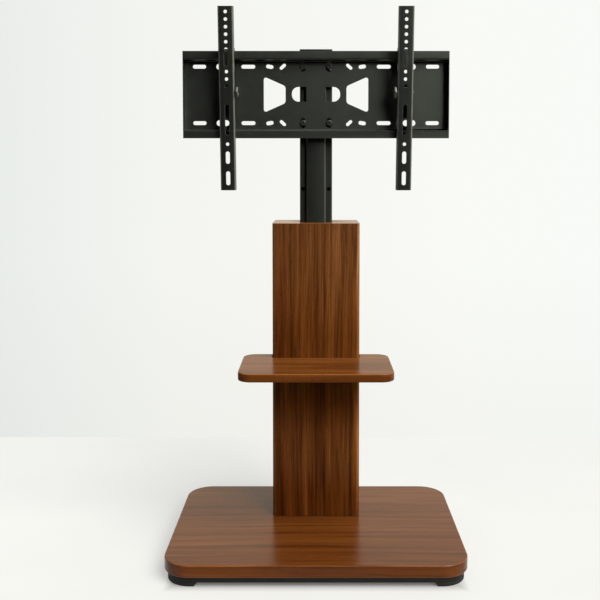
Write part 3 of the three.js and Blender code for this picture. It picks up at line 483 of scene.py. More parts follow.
def moulded(name, colour, roughness, grain_scale, depth):
    """Rubber or moulded plastic with a fine even grain and a few rubbed places."""
    g = Graph(name)
    place = g.place()
    grain = g.noise(place, grain_scale, 2.0, 0.55)
    rubbed = g.noise(place, 38.0, 3.0, 0.6)
    base = srgb(*colour)
    worn = srgb(*(channel * 1.35 + 5 for channel in colour))
    shade = g.mix(g.span(rubbed, 0.48, 0.75, 0.0, 0.7), (*base, 1), (*worn, 1))
    shade = g.mix(g.span(grain, 0.55, 0.75, 0.0, 0.3), shade, (*worn, 1))
    g.surface(shade, g.span(rubbed, 0.3, 0.7, roughness + 0.06, roughness - 0.08))
    g.bump(grain, 0.25, depth)
    g.constants(Specular_IOR_Level=0.3)
    return g.material


def painted_board(name):
    """Black painted board: a matt film over faint brush and board texture."""
    g = Graph(name)
    place = g.place()
    lay = g.noise(g.vector("MULTIPLY", place, (0.06, 1.0, 1.0)), 320.0, 3.0, 0.6)
    patch = g.noise(place, 22.0, 3.0, 0.6)
    shade = g.mix(g.span(patch, 0.35, 0.7), (*srgb(13, 11, 7), 1), (*srgb(25, 21, 14), 1))
    g.surface(shade, g.span(lay, 0.3, 0.7, 0.55, 0.7))
    g.bump(lay, 0.15, 0.0002)
    g.constants(Specular_IOR_Level=0.25)
    return g.material


# Painted shade on the column's front, by height above the floor in metres: the colour is darkest near the
# base and just under and over the shelf
COLUMN_PAINTED_SHADE = [
    (0.0, (0.48, 0.36, 0.19)), (0.1, (0.56, 0.43, 0.23)), (0.15, (0.68, 0.57, 0.37)),
    (0.2, (0.82, 0.74, 0.5)), (0.25, (0.91, 0.81, 0.61)), (0.298, (0.74, 0.63, 0.36)),
    (0.322, (0.66, 0.52, 0.25)), (0.346, (0.74, 0.62, 0.26)), (0.37, (1.0, 0.95, 0.5)),
    (0.42, (0.68, 0.57, 0.34)), (0.48, (0.68, 0.57, 0.33)), (0.54, (0.82, 0.73, 0.51)),
    (0.6, (0.9, 0.865, 0.72)), (0.68, (0.97, 0.97, 0.9)), (0.78, (0.95, 0.97, 0.98)),
]
# Painted shade as patches: above the shelf the left of the column's front is darker, below it the middle
COLUMN_SHADE_PATCHES = [
    (-0.2, -0.05, 0.41, 1.0, (0.72, 0.66, 0.6)), (-0.024, 0.066, 0.0, 0.41, (0.76, 0.7, 0.62)),
]
wood_base = walnut("walnut_base", "x", (0.31, 0.0, 0.0), 0.62, coat=1.0, edge_axis=2,
                   rub_and_highlight=0.95, band=(0.9, 0.82, 0.35), tint=(0.84, 0.79, 0.68))
wood_shelf = walnut("walnut_shelf", "x", (1.7, 0.42, 0.2), 0.65, coat=0.7, edge_axis=2,
                    rub_and_highlight=0.8, band=(1.0, 0.97, 0.88))
wood_front = walnut("walnut_front", "z", (0.63, 0.2, 0.4), end_grain=(2, 1, 0), coat=0.4, edge_axis=0,
                    rub_and_highlight=0.9, tint=(1.16, 1.32, 1.88), shade_patches=COLUMN_SHADE_PATCHES, painted_shade=COLUMN_PAINTED_SHADE)
wood_back = walnut("walnut_back", "z", (2.3, 0.9, 1.4), end_grain=(2, 1, 0), coat=0.4, edge_axis=0)
wood_side = walnut("walnut_side", "z", (3.1, 1.7, 0.1), end_grain=(2, 1, 0), coat=0.4)
# Tops are painted lighter and paler, a painted reflection of the pale backdrop on them
wood_top_painted_reflection = walnut("walnut_top_painted_reflection", "x", (4.2, 0.3, 2.4), 0.5, coat=1.0, tint=(1.4, 1.55, 2.1))
# Each worn share is the strength of the painted highlight on bends and edges
steel = powder_coat("powder_coat", worn=0.03)
arm_steel = powder_coat("arm_coat", worn=0.7)
knob_steel = powder_coat("knob_coat", worn=0.2)
post_steel = powder_coat("post_coat", (4, 5, 3), 0.4, 0.7, 0.2)
hardware = powder_coat("black_oxide", (8, 9, 7), 0.48, 0.65)
zinc = bright_zinc("bright_zinc", (196, 198, 196), 0.3)
rubber = moulded("foot_rubber", (13, 12, 10), 0.62, 900.0, 0.0002)
plastic = moulded("moulded_plastic", (30, 31, 30), 0.45, 1300.0, 0.0001)
black_board = painted_board("painted_board")

MATERIALS = {
    "walnut": wood_top_painted_reflection,
    "black_board": black_board,
    "black_steel": steel,
    "rubber": rubber,
    "black_plastic": plastic,
    "zinc_steel": zinc,
}
slots = {row["node"]: row["material_slot"] for row in frame["record"]["subparts"]}
for node, cad in frame["nodes"].items():
    blackened = "_bolt_" in node or "catch_screw" in node
    cad.data.materials.clear()
    cad.data.materials.append(hardware if blackened else MATERIALS[slots[node]])


# Boards: the radius of their corners in plan and how far their edges are eased
BASE_CORNER, SHELF_CORNER, COLUMN_CORNER, BACK_CORNER = 60, 30, 9, 4
BASE_EDGE, SHELF_EDGE, COLUMN_EDGE, SIDE_EDGE = 2.5, 2.2, 0.8, 0.3
# Boards are eased only at corners sharper than this many degrees
BOARD_LIMIT = 50
PANEL_STEPS = 10
# The radius of the bores for the lock screws
LOCK_BORE = 9
# The room between pieces that fit together, and how far a cutter stands past what it cuts
GAP = 0.25
PAST = 5


def box_of(node):
    """The lowest and the highest corner of a CAD node, in millimetres."""
    return [[place / MM for place in corner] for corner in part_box(node)]


def box_corners(node, front_radius=0, rear_radius=0):
    """The corners of a node's box in plan, anticlockwise from the front left one."""
    (left, front, _), (right, rear, _) = box_of(node)
    return [
        (left, front, front_radius), (right, front, front_radius),
        (right, rear, rear_radius), (left, rear, rear_radius),
    ]


def board(node, corners, material, edge, segments=4, steps=CORNER_STEPS, ends=None, bores=()):
    """A veneered board with these corners in plan, as tall as its CAD node."""
    (_, _, low), (_, _, high) = box_of(node)
    piece = new_object(f"{node}_veneered", prism(outline(corners, steps), low, high, "plan"))
    if bores:
        combine(piece, bores, "DIFFERENCE")
    return settle(piece, material, node, edge, segments, BOARD_LIMIT, ends)


board("base_board", box_corners("base_board", BASE_CORNER, BASE_CORNER), wood_base, BASE_EDGE)

# The shelf is notched round the column
(_, column_front, _), (column_right, _, _) = box_of("column_front_panel")
notch_x, notch_y, notch_corner = column_right + GAP, column_front - GAP, COLUMN_CORNER + GAP
(left, front, _), (right, rear, _) = box_of("shelf_board")
board("shelf_board", [
    (left, front, SHELF_CORNER), (right, front, SHELF_CORNER), (right, rear, SHELF_CORNER),
    (notch_x, rear, 0), (notch_x, notch_y, notch_corner), (-notch_x, notch_y, notch_corner),
    (-notch_x, rear, 0), (left, rear, SHELF_CORNER),
], wood_shelf, SHELF_EDGE)

board("column_front_panel", box_corners("column_front_panel", COLUMN_CORNER), wood_front,
      COLUMN_EDGE, 3, PANEL_STEPS, wood_top_painted_reflection)
(_, back_front, _), (_, back_rear, _) = box_of("column_back_panel")
lock_joints = [joints["upper_lock_turn"], joints["lower_lock_turn"]]
lock_bores = [
    prism(moved(circle_outline(LOCK_BORE), 0, joint["pos_m"][2] / MM),
          back_front - PAST, back_rear + PAST, "front")
    for joint in lock_joints
]
board("column_back_panel", box_corners("column_back_panel", 0, BACK_CORNER), wood_back,
      COLUMN_EDGE, 3, PANEL_STEPS, wood_top_painted_reflection, lock_bores)
for side in SIDES:
    board(f"column_{side}_panel", box_corners(f"column_{side}_panel"), wood_side, SIDE_EDGE, 2, ends=wood_top_painted_reflection)


# Lift post: half the width of its front rib and of its body, and how far behind the rib's front its
# shoulders and its back are
POST_RIB, POST_BODY, POST_SHOULDER, POST_DEPTH = 22, 38.5, 15, 44
POST_WALL, POST_BEND, POST_EDGE = 2.5, 3, 0.3
# The plate's slots lie in two rows, and its bolts go through the post's shoulders. The post has a second
# set of wider holes further down.
SLOT_ROW, BOLT_X = 66, 30.7
BOLT_BORE, SPARE_BORE, SPARE_DROP = 3.3, 5.2, 155.7
# How far the plate's openings are cut above its middle
ROWS_UP, WINDOWS_UP, ARCHES_UP = 1.7, 2.5, 3.3


def post_outline(inset, radius):
    """The post's section in plan, drawn in by an inset on every side, with its rib's front at 0."""
    rib, body = POST_RIB - inset, POST_BODY - inset
    shoulder, back = POST_SHOULDER + inset, POST_DEPTH - inset
    inner = radius / 2
    return outline([
        (-rib, inset, radius), (rib, inset, radius), (rib, shoulder, inner), (body, shoulder, radius),
        (body, back, radius), (-body, back, radius), (-body, shoulder, radius), (-rib, shoulder, inner),
    ])


(_, post_front, post_low), (_, _, post_high) = box_of("lift_post")
(_, _, plate_low), (_, plate_back, plate_high) = box_of("mounting_plate")
plate_mid = (plate_low + plate_high) / 2
post = new_object("lift_post_coated", prism(
    moved(post_outline(0, POST_BEND), 0, post_front), post_low, post_high, "plan"))
hollow = moved(post_outline(POST_WALL, POST_BEND / 2), 0, post_front)
combine(post, [prism(hollow, post_low - PAST, post_high + PAST, "plan")], "DIFFERENCE")
shoulder_front = post_front + POST_SHOULDER
post_holes = []
for row in (1, -1):
    for sign in SIDES.values():
        for radius, drop in ((BOLT_BORE, 0), (SPARE_BORE, SPARE_DROP)):
            hole = moved(circle_outline(radius), sign * BOLT_X, plate_mid + ROWS_UP + row * SLOT_ROW - drop)
            post_holes.append(prism(hole, shoulder_front - PAST, shoulder_front + POST_WALL + PAST, "front"))
combine(post, post_holes, "DIFFERENCE")
settle(post, post_steel, "lift_post", POST_EDGE)


# Mounting plate: a tray with flanges that go forward and lips that turn up and down from them
PLATE_HALF_Z, PLATE_HALF_X, PLATE_SHEET, PLATE_DEPTH = 101, 310, 2, 27
UPPER_LIP, LOWER_LIP = 20.3, 19.5
UPPER_FLANGE, LOWER_FLANGE = PLATE_HALF_Z - UPPER_LIP, LOWER_LIP - PLATE_HALF_Z
OUTER_BEND, INNER_BEND, LOWER_FOLD, PLATE_EDGE = 4, 2, 1.2, 0.35
# Openings that are wider or rounder at their far end: x from the middle, half the height and the radius
WINDOW_NEAR, WINDOW_FAR = (71.7, 19.7, 9), (123, 42.5, 5)
ARCH_NEAR, ARCH_FAR = (22.8, 17.2, 1.5), (56.8, 17.2, 15.7)
# Slots: the place and the length as shares of the half length, the width, the tilt in quarter turns
ROW_SLOTS = [
    (0.884, 0.101, 9.1, 0), (0.708, 0.097, 13.8, 0), (0.514, 0.106, 9.1, 0),
    (0.351, 0.056, 9.1, -0.11), (0.252, 0.056, 7.6, 0.47),
]
BOLT_SLOT_LENGTH, BOLT_SLOT_WIDTH = 24, 11
# An upright opening behind each arm, from the upper row down
UPRIGHT_NEAR, UPRIGHT_FAR, UPRIGHT_HEIGHT, UPRIGHT_CORNER = 205, 219, 36, 5.5


def plate_section():
    """The plate's section in y and z, with its back at 0."""
    front, lip_back = -PLATE_DEPTH, PLATE_SHEET - PLATE_DEPTH
    above, below = UPPER_FLANGE + PLATE_SHEET, LOWER_FLANGE - PLATE_SHEET
    return outline([
        (lip_back, -PLATE_HALF_Z, 0), (lip_back, below, INNER_BEND), (0, below, OUTER_BEND),
        (0, above, OUTER_BEND), (lip_back, above, INNER_BEND), (lip_back, PLATE_HALF_Z, 0),
        (front, PLATE_HALF_Z, 0), (front, UPPER_FLANGE, OUTER_BEND),
        (-PLATE_SHEET, UPPER_FLANGE, INNER_BEND), (-PLATE_SHEET, LOWER_FLANGE, INNER_BEND),
        (front, LOWER_FLANGE, LOWER_FOLD), (front, -PLATE_HALF_Z, 0),
    ], FINE_STEPS)


def tapered_outline(near, far, steps):
    (near_x, near_half, near_radius), (far_x, far_half, far_radius) = near, far
    return outline([
        (near_x, -near_half, near_radius), (far_x, -far_half, far_radius),
        (far_x, far_half, far_radius), (near_x, near_half, near_radius),
    ], steps)


def plate_windows():
    """Every opening of the plate's right half, in x and z from its middle."""
    upright = box_outline(
        UPRIGHT_NEAR, SLOT_ROW - UPRIGHT_HEIGHT, UPRIGHT_FAR, SLOT_ROW, UPRIGHT_CORNER, FINE_STEPS)
    shapes = [
        moved(tapered_outline(WINDOW_NEAR, WINDOW_FAR, FINE_STEPS), 0, WINDOWS_UP),
        moved(tapered_outline(ARCH_NEAR, ARCH_FAR, ARCH_STEPS), 0, ARCHES_UP),
        moved(upright, 0, ROWS_UP),
    ]
    for place, length, width, tilt in ROW_SLOTS:
        for row in (1, -1):
            slot = slot_outline(length * PLATE_HALF_X, width)
            shapes.append(moved(
                slot, place * PLATE_HALF_X, ROWS_UP + row * SLOT_ROW, -row * tilt * math.pi / 2))
    for row in (1, -1):
        bolt_slot = slot_outline(BOLT_SLOT_LENGTH, BOLT_SLOT_WIDTH)
        shapes.append(moved(bolt_slot, BOLT_X, ROWS_UP + row * SLOT_ROW, math.pi / 2))
    return shapes


plate = new_object("mounting_plate_coated", prism(
    moved(plate_section(), plate_back, plate_mid), -PLATE_HALF_X, PLATE_HALF_X, "side"))
end_wall = box_outline(
    plate_back - PLATE_DEPTH, plate_mid + LOWER_FLANGE - PLATE_SHEET,
    plate_back - PLATE_SHEET / 2, plate_mid + UPPER_FLANGE + PLATE_SHEET)
end_walls = []
for sign in SIDES.values():
    faces = sorted((sign * PLATE_HALF_X, sign * (PLATE_HALF_X - PLATE_SHEET)))
    end_walls.append(prism(end_wall, *faces, "side"))
combine(plate, end_walls, "UNION")
windows = []
for shape in plate_windows():
    for sign in SIDES.values():
        points = [Vector((sign * x, z + plate_mid)) for x, z in shape]
        windows.append(prism(points, plate_back - PLATE_SHEET - PAST, plate_back + PAST, "front"))
combine(plate, windows, "DIFFERENCE")
settle(plate, steel, "mounting_plate", PLATE_EDGE)


# Screen arms, brackets and catches are drawn from the tilt pivot, which lies a little above the
# plate's middle and in front of the plate's lips
PIVOT_UP, LIP_BACK = 1.3, 32
LIP_TOP, LIP_BOTTOM = PLATE_HALF_Z - PIVOT_UP, -PLATE_HALF_Z - PIVOT_UP
PIVOT_BORE = 4.3
SIDEWAYS_CUT = 25
ARM_HALF, ARM_SHEET, ARM_DEPTH, ARM_BEND, ARM_EDGE = 17.75, 2, 14, 4, 0.35
ARM_UP, ARM_DOWN = 193, 224
# How far the pivot is behind the arm's face, and how far the arms lean forward in the photograph
ARM_PIVOT_DEPTH, ARM_LEAN = 9, 7
# A row of holes from the top down, then single holes and slots (place and length) as shares of the length
ARM_HOLE, ARM_TOP_HOLE, ARM_HOLE_PITCH, ARM_ROW_HOLES = 3.9, 180.6, 16.6, 6
ARM_SINGLE_HOLES = (0.1148, 0.0745, -0.28)
ARM_SLOTS = ((0.1823, 0.0776), (-0.1473, 0.1671), (-0.3547, 0.0685), (-0.4697, 0.0776))
ARM_SLOT_WIDTH = 9.4
# The square hole over the pivot
SQUARE_HALF_WIDTH, SQUARE_HALF_HEIGHT, SQUARE_CORNER, SQUARE_UP = 4, 3.5, 1.5, 16


def arm_shape():
    """A screen arm: an upright channel that opens to the back."""
    inner, bend = ARM_HALF - ARM_SHEET, ARM_BEND - ARM_SHEET
    section = outline([
        (-ARM_HALF, ARM_DEPTH, 0), (-ARM_HALF, 0, ARM_BEND),
        (ARM_HALF, 0, ARM_BEND), (ARM_HALF, ARM_DEPTH, 0),
        (inner, ARM_DEPTH, 0), (inner, ARM_SHEET, bend),
        (-inner, ARM_SHEET, bend), (-inner, ARM_DEPTH, 0),
    ], FINE_STEPS)
    channel = new_object("arm", prism(section, -ARM_DOWN, ARM_UP, "plan"))
    length = ARM_UP + ARM_DOWN
    holes = [share * length for share in ARM_SINGLE_HOLES]
    holes += [ARM_TOP_HOLE - ARM_HOLE_PITCH * i for i in range(ARM_ROW_HOLES)]
    shapes = [moved(circle_outline(ARM_HOLE), 0, z) for z in holes]
    for place, share in ARM_SLOTS:
        shapes.append(moved(slot_outline(share * length, ARM_SLOT_WIDTH), 0, place * length, math.pi / 2))
    square = box_outline(
        -SQUARE_HALF_WIDTH, -SQUARE_HALF_HEIGHT, SQUARE_HALF_WIDTH, SQUARE_HALF_HEIGHT, SQUARE_CORNER)
    shapes.append(moved(square, 0, SQUARE_UP))
    cutters = [prism(shape, -PAST, ARM_SHEET + PAST, "front") for shape in shapes]
    pivot_bore = moved(circle_outline(PIVOT_BORE), ARM_PIVOT_DEPTH, 0)
    cutters.append(prism(pivot_bore, -SIDEWAYS_CUT, SIDEWAYS_CUT, "side"))
    combine(channel, cutters, "DIFFERENCE")
    return channel


BRACKET_HALF, BRACKET_SHEET, BRACKET_DEPTH, BRACKET_EDGE = 14.75, 2.5, 10, 0.3
HOOK_DEPTH, HOOK_DROP, HOOK_RISE = 6, 14, 6
BRACKET_END, NOSE, NOSE_HALF, WAIST = 9, 6, 3, 60
# The radii of its corners: at the hook's inside, at its lower end, at the hook's tip and top, at its nose
HOOK_INSIDE, END_CORNER, TIP_CORNER, TOP_CORNER, NOSE_CORNER = 0.6, 1.5, 2, 3, 6
WEB_DEPTH, WEB_UP, WEB_OVER = 6.5, 0.8, 3
# Two windows in the web: their middle and their height
WEB_WINDOWS = ((42.5, 34), (-68, 22))
WINDOW_HALF, WINDOW_CORNER = 7, 3
CATCH_SCREW_UP, CATCH_SCREW_BORE = 12.5, 2.75


def bracket_shape():
    """A tilt bracket: two cheeks that hook over the plate's upper lip, and the web between them."""
    back, front = LIP_BACK - GAP, LIP_BACK - BRACKET_DEPTH
    hook_front = LIP_BACK + PLATE_SHEET + GAP
    hook_back, hook_end = hook_front + HOOK_DEPTH, LIP_TOP - HOOK_DROP
    bottom, top = LIP_BOTTOM - BRACKET_END, LIP_TOP + GAP
    cheek = outline([
        (front, bottom, END_CORNER), (back, bottom, END_CORNER),
        (back, top, HOOK_INSIDE), (hook_front, top, HOOK_INSIDE),
        (hook_front, hook_end, HOOK_INSIDE), (hook_back, hook_end, TIP_CORNER),
        (hook_back, top + HOOK_RISE, TOP_CORNER), (front, top + HOOK_RISE, TOP_CORNER),
        (front, WAIST, NOSE_CORNER), (-NOSE, NOSE_HALF, NOSE_CORNER),
        (-NOSE, -NOSE_HALF, NOSE_CORNER), (front, -WAIST, NOSE_CORNER),
    ], FINE_STEPS)
    piece = new_object("bracket", prism(cheek, -BRACKET_HALF, BRACKET_SHEET - BRACKET_HALF, "side"))
    web_front = LIP_BACK - WEB_DEPTH - BRACKET_SHEET
    web_outline = box_outline(-BRACKET_HALF, LIP_BOTTOM + WEB_UP, BRACKET_HALF, top + WEB_OVER)
    combine(piece, [prism(cheek, BRACKET_HALF - BRACKET_SHEET, BRACKET_HALF, "side")], "UNION")
    combine(piece, [prism(web_outline, web_front, web_front + BRACKET_SHEET, "front")], "UNION")
    shapes = [
        box_outline(-WINDOW_HALF, z - height / 2, WINDOW_HALF, z + height / 2, WINDOW_CORNER)
        for z, height in WEB_WINDOWS
    ]
    shapes.append(moved(circle_outline(CATCH_SCREW_BORE), 0, LIP_BOTTOM + CATCH_SCREW_UP))
    cutters = [prism(shape, web_front - PAST, web_front + BRACKET_SHEET + PAST, "front") for shape in shapes]
    cutters.append(prism(circle_outline(PIVOT_BORE), -SIDEWAYS_CUT, SIDEWAYS_CUT, "side"))
    combine(piece, cutters, "DIFFERENCE")
    return piece


CATCH_SHEET, CATCH_HALF, CATCH_EDGE = 2, 10, 0.25
CATCH_ROOM, CATCH_TIP, CATCH_OVER = 0.8, 5, 14
CATCH_BEND, TIP_ROUND, CATCH_INSIDE, CATCH_TOP_CORNER = 2.2, 0.5, 0.4, 0.3
CATCH_SLOT_LENGTH, CATCH_SLOT_WIDTH, CATCH_SLOT_UP = 14, 5.5, 4


def catch_shape():
    """A catch: a strip on the bracket's web that hooks under the plate's lower lip."""
    front = LIP_BACK - WEB_DEPTH - BRACKET_SHEET - GAP - CATCH_SHEET
    tip_back = LIP_BACK + PLATE_SHEET + CATCH_ROOM + CATCH_SHEET
    under = LIP_BOTTOM - CATCH_ROOM
    screw_z = LIP_BOTTOM + CATCH_SCREW_UP
    top, tip_top = screw_z + CATCH_OVER, under + CATCH_TIP
    section = outline([
        (front, under - CATCH_SHEET, CATCH_BEND), (tip_back, under - CATCH_SHEET, CATCH_BEND),
        (tip_back, tip_top, TIP_ROUND), (tip_back - CATCH_SHEET, tip_top, TIP_ROUND),
        (tip_back - CATCH_SHEET, under, CATCH_INSIDE), (front + CATCH_SHEET, under, CATCH_INSIDE),
        (front + CATCH_SHEET, top, CATCH_TOP_CORNER), (front, top, CATCH_TOP_CORNER),
    ])
    piece = new_object("catch", prism(section, -CATCH_HALF, CATCH_HALF, "side"))
    slot = moved(slot_outline(CATCH_SLOT_LENGTH, CATCH_SLOT_WIDTH), 0, screw_z + CATCH_SLOT_UP, math.pi / 2)
    combine(piece, [prism(slot, front - PAST, front + CATCH_SHEET + PAST, "front")], "DIFFERENCE")
    return piece


KNOB_LOBES, LOBE_DEPTH, POINTS_PER_LOBE = 6, 0.07, 12
KNOB_RIM, RIM_SHARE = 1.6, 0.3


def knob_shape(radius, thickness, hub_radius, hub_length, screw_radius, screw_length):
    """A lobed hand knob on a threaded stud. It stands back along -y from y = 0."""
    steps = KNOB_LOBES * POINTS_PER_LOBE
    points = []
    for k in range(steps):
        angle = 2 * math.pi * k / steps
        reach = radius * (1 - LOBE_DEPTH + LOBE_DEPTH * math.cos(KNOB_LOBES * angle))
        points.append(Vector((reach * math.cos(angle), reach * math.sin(angle))))
    rim = min(KNOB_RIM, thickness / 4)
    slight = rim * RIM_SHARE
    grip_back = -hub_length - thickness
    bm = bmesh.new()
    loops = []
    for inset, depth in (
        (rim, grip_back), (slight, grip_back + slight), (0, grip_back + rim),
        (0, -hub_length - rim), (slight, -hub_length - slight), (rim, -hub_length),
    ):
        share = 1 - inset / radius
        loops.append([bm.verts.new(Vector((p.x * share, depth, p.y * share)) * MM) for p in points])
    bm.faces.new(loops[0])
    bm.faces.new(loops[-1])
    for first, second in zip(loops, loops[1:]):
        for k in range(steps):
            m = (k + 1) % steps
            bm.faces.new((first[k], first[m], second[m], second[k]))
    bmesh.ops.recalc_face_normals(bm, faces=bm.faces)
    piece = new_object("knob", bm)
    mouth, floor = radius * 0.52, radius * 0.46
    recess = lathe([(0, grip_back - 1), (mouth, grip_back - 1), (floor, grip_back + 1), (0, grip_back + 1.2)])
    combine(piece, [recess], "DIFFERENCE")
    hub_back = -hub_length - thickness / 2
    hub = lathe([(0, hub_back), (hub_radius, hub_back), (hub_radius, -0.5), (hub_radius - 0.5, 0), (0, 0)])
    combine(piece, [hub], "UNION")
    combine(piece, [stud(screw_radius, -hub_length, screw_length)], "UNION")
    return piece


STUD_PITCH, STUD_ROOT, THREADED_SIDES = 1.25, 0.45, 24
THREAD_START, STUD_TIP = 0.5, 0.6


def stud(radius, low, high):
    """A threaded rod, as rings of crests and roots."""
    start = max(low, THREAD_START)
    profile = [(0, low), (radius, low), (radius, start)]
    for k in range(int((high - STUD_TIP - start) / STUD_PITCH)):
        profile.append((radius - STUD_ROOT, start + (k + 0.5) * STUD_PITCH))
        profile.append((radius, start + (k + 1) * STUD_PITCH))
    profile += [(radius - STUD_TIP, high), (0, high)]
    return lathe(profile, THREADED_SIDES)


def at(piece, matrix):
    piece.data.transform(matrix)
    return piece


def copy_of(piece, name):
    twin = bpy.data.objects.new(name, piece.data.copy())
    bpy.context.scene.collection.objects.link(twin)
    return twin


def offset(x, y, z):
    """A move by millimetres."""
    return Matrix.Translation(Vector((x, y, z)) * MM)


TILT = Matrix.Rotation(math.radians(ARM_LEAN), 4, "X")
STUD_END = 1.5
arm_model = arm_shape()
bracket_model = bracket_shape()
catch_model = catch_shape()
tilt_knob_model = knob_shape(
    radius=14.5, thickness=5.5, hub_radius=8, hub_length=1.8,
    screw_radius=4, screw_length=2 * ARM_HALF + GAP + STUD_END)
for side, sign in SIDES.items():
    pivot = Matrix.Translation(joints[f"{side}_arm_tilt"]["pos_m"])
    arm = at(copy_of(arm_model, f"screen_arm_{side}_coated"), pivot @ TILT @ offset(0, -ARM_PIVOT_DEPTH, 0))
    settle(arm, arm_steel, f"screen_arm_{side}", ARM_EDGE)
    bracket = at(copy_of(bracket_model, f"tilt_bracket_{side}_coated"), pivot)
    settle(bracket, steel, f"tilt_bracket_{side}", BRACKET_EDGE)
    catch = at(copy_of(catch_model, f"lip_catch_{side}_coated"), pivot)
    settle(catch, steel, f"lip_catch_{side}", CATCH_EDGE)
    inner_face = pivot @ offset(-sign * (ARM_HALF + GAP), 0, 0)
    tilt_knob = at(copy_of(tilt_knob_model, f"tilt_knob_{side}_coated"),
                   inner_face @ Matrix.Rotation(-sign * math.pi / 2, 4, "Z"))
    settle(tilt_knob, knob_steel, f"tilt_knob_{side}", 0)
lock_model = knob_shape(
    radius=19, thickness=14, hub_radius=9, hub_length=8, screw_radius=4, screw_length=72.85)
for joint in lock_joints:
    node = f"height_lock_screw_{joint['name'].split('_')[0]}"
    seat = offset(0, back_rear + GAP, joint["pos_m"][2] / MM)
    lock = at(copy_of(lock_model, f"{node}_moulded"), seat @ Matrix.Rotation(math.pi, 4, "Z"))
    settle(lock, plastic, node, 0)
for model in (arm_model, bracket_model, catch_model, tilt_knob_model, lock_model):
    bpy.data.objects.remove(model)


# Screws and bolts
SCREW_PITCH, SCREW_THREAD = 1.5, 0.4
# How far a cross recess is turned, in radians
CROSS_TURN = 0.4


def screw_shape(length, radius, head, head_height, drive, hex_radius=0, hex_height=0):
    """A threaded screw along +y. The underside of its head is at y = 0."""
    top = -head_height - hex_height
    turned = [
        (0, -head_height), (head * 0.55, -head_height), (head * 0.84, -head_height * 0.72),
        (head * 0.97, -head_height * 0.35), (head, -0.1), (head - 0.1, 0), (radius, 0), (radius, 0.5),
    ]
    pitch, depth = SCREW_PITCH, SCREW_THREAD
    for k in range(int((length - 3) / pitch)):
        turned += [(radius - depth, 0.5 + (k + 0.5) * pitch), (radius, 0.5 + (k + 1) * pitch)]
    turned += [(radius - depth, length - 1.2), (0, length)]
    piece = new_object("screw", lathe(turned, THREADED_SIDES))
    if drive == "cross":
        blade, width, sunk = head * 0.5, head * 0.2, head_height * 0.55
        slot = box_outline(-width / 2, -blade, width / 2, blade, width * 0.3)
        cutters = [
            prism(moved(slot, angle=turn), top - 1, top + sunk, "front")
            for turn in (CROSS_TURN, CROSS_TURN + math.pi / 2)
        ]
    else:
        combine(piece, [prism(circle_outline(hex_radius, 6), top, -head_height / 2, "front")], "UNION")
        cutters = [prism(circle_outline(hex_radius * 0.52, 6), top - 1, top + hex_height * 0.6, "front")]
    combine(piece, cutters, "DIFFERENCE")
    return piece


UPWARDS = Matrix.Rotation(math.pi / 2, 4, "X")
DOWNWARDS = Matrix.Rotation(-math.pi / 2, 4, "X")
BACKWARDS = Matrix.Identity(4)
# Each kind: its direction, shank radius, head radius, head height and drive, then any hexagon on it
FASTENERS = {
    "column_screw": (UPWARDS, 2.5, 5.2, 3, "cross"),
    "foot_screw": (UPWARDS, 2.5, 5.2, 3, "cross"),
    "bracket_wall_screw": (BACKWARDS, 2.5, 5.4, 3, "cross"),
    "bracket_shelf_screw": (UPWARDS, 2.5, 5.4, 3, "cross"),
    "flange_bolt": (DOWNWARDS, 4, 7.4, 1.5, "hex", 6.4, 4),
    "plate_bolt": (BACKWARDS, 3, 7.4, 1.6, "hex", 5.8, 5),
    "catch_screw": (BACKWARDS, 2.5, 5.5, 3.6, "cross"),
}
screw_models = {}
for node in sorted(frame["nodes"]):
    kind = next((kind for kind in FASTENERS if node.startswith(kind)), None)
    if not kind:
        continue
    direction, radius, head, head_height, drive, *hexagon = FASTENERS[kind]
    low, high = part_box(node)
    along = direction @ Vector((0, 1, 0))
    total = abs((high - low).dot(along)) / MM
    standing = head_height + (hexagon[1] if hexagon else 0)
    seat = (low + high) / 2 + along * (standing - total / 2) * MM
    model = (round(total - standing, 2), radius, head, head_height, drive, *hexagon)
    if model not in screw_models:
        screw_models[model] = screw_shape(*model)
    screw = at(copy_of(screw_models[model], f"{node}_turned"), Matrix.Translation(seat) @ direction)
    settle(screw, zinc if slots[node] == "zinc_steel" else hardware, node, 0)
for model in screw_models.values():
    bpy.data.objects.remove(model)


# CAD nodes that stay: merged corners, smooth curves and slightly broken edges
CAD_EDGE, CAD_SHARP = 0.25, 40
for cad in frame["nodes"].values():
    if cad.hide_render:
        continue
    for polygon in cad.data.polygons:
        polygon.use_smooth = True
    weld = cad.modifiers.new("weld", "WELD")
    weld.merge_threshold = SHORTEST_EDGE
    bevel = cad.modifiers.new("edges", "BEVEL")
    bevel.width = CAD_EDGE * MM
    bevel.segments = 2
    bevel.limit_method = "ANGLE"
    bevel.angle_limit = math.radians(CAD_SHARP)
    bevel.harden_normals = True


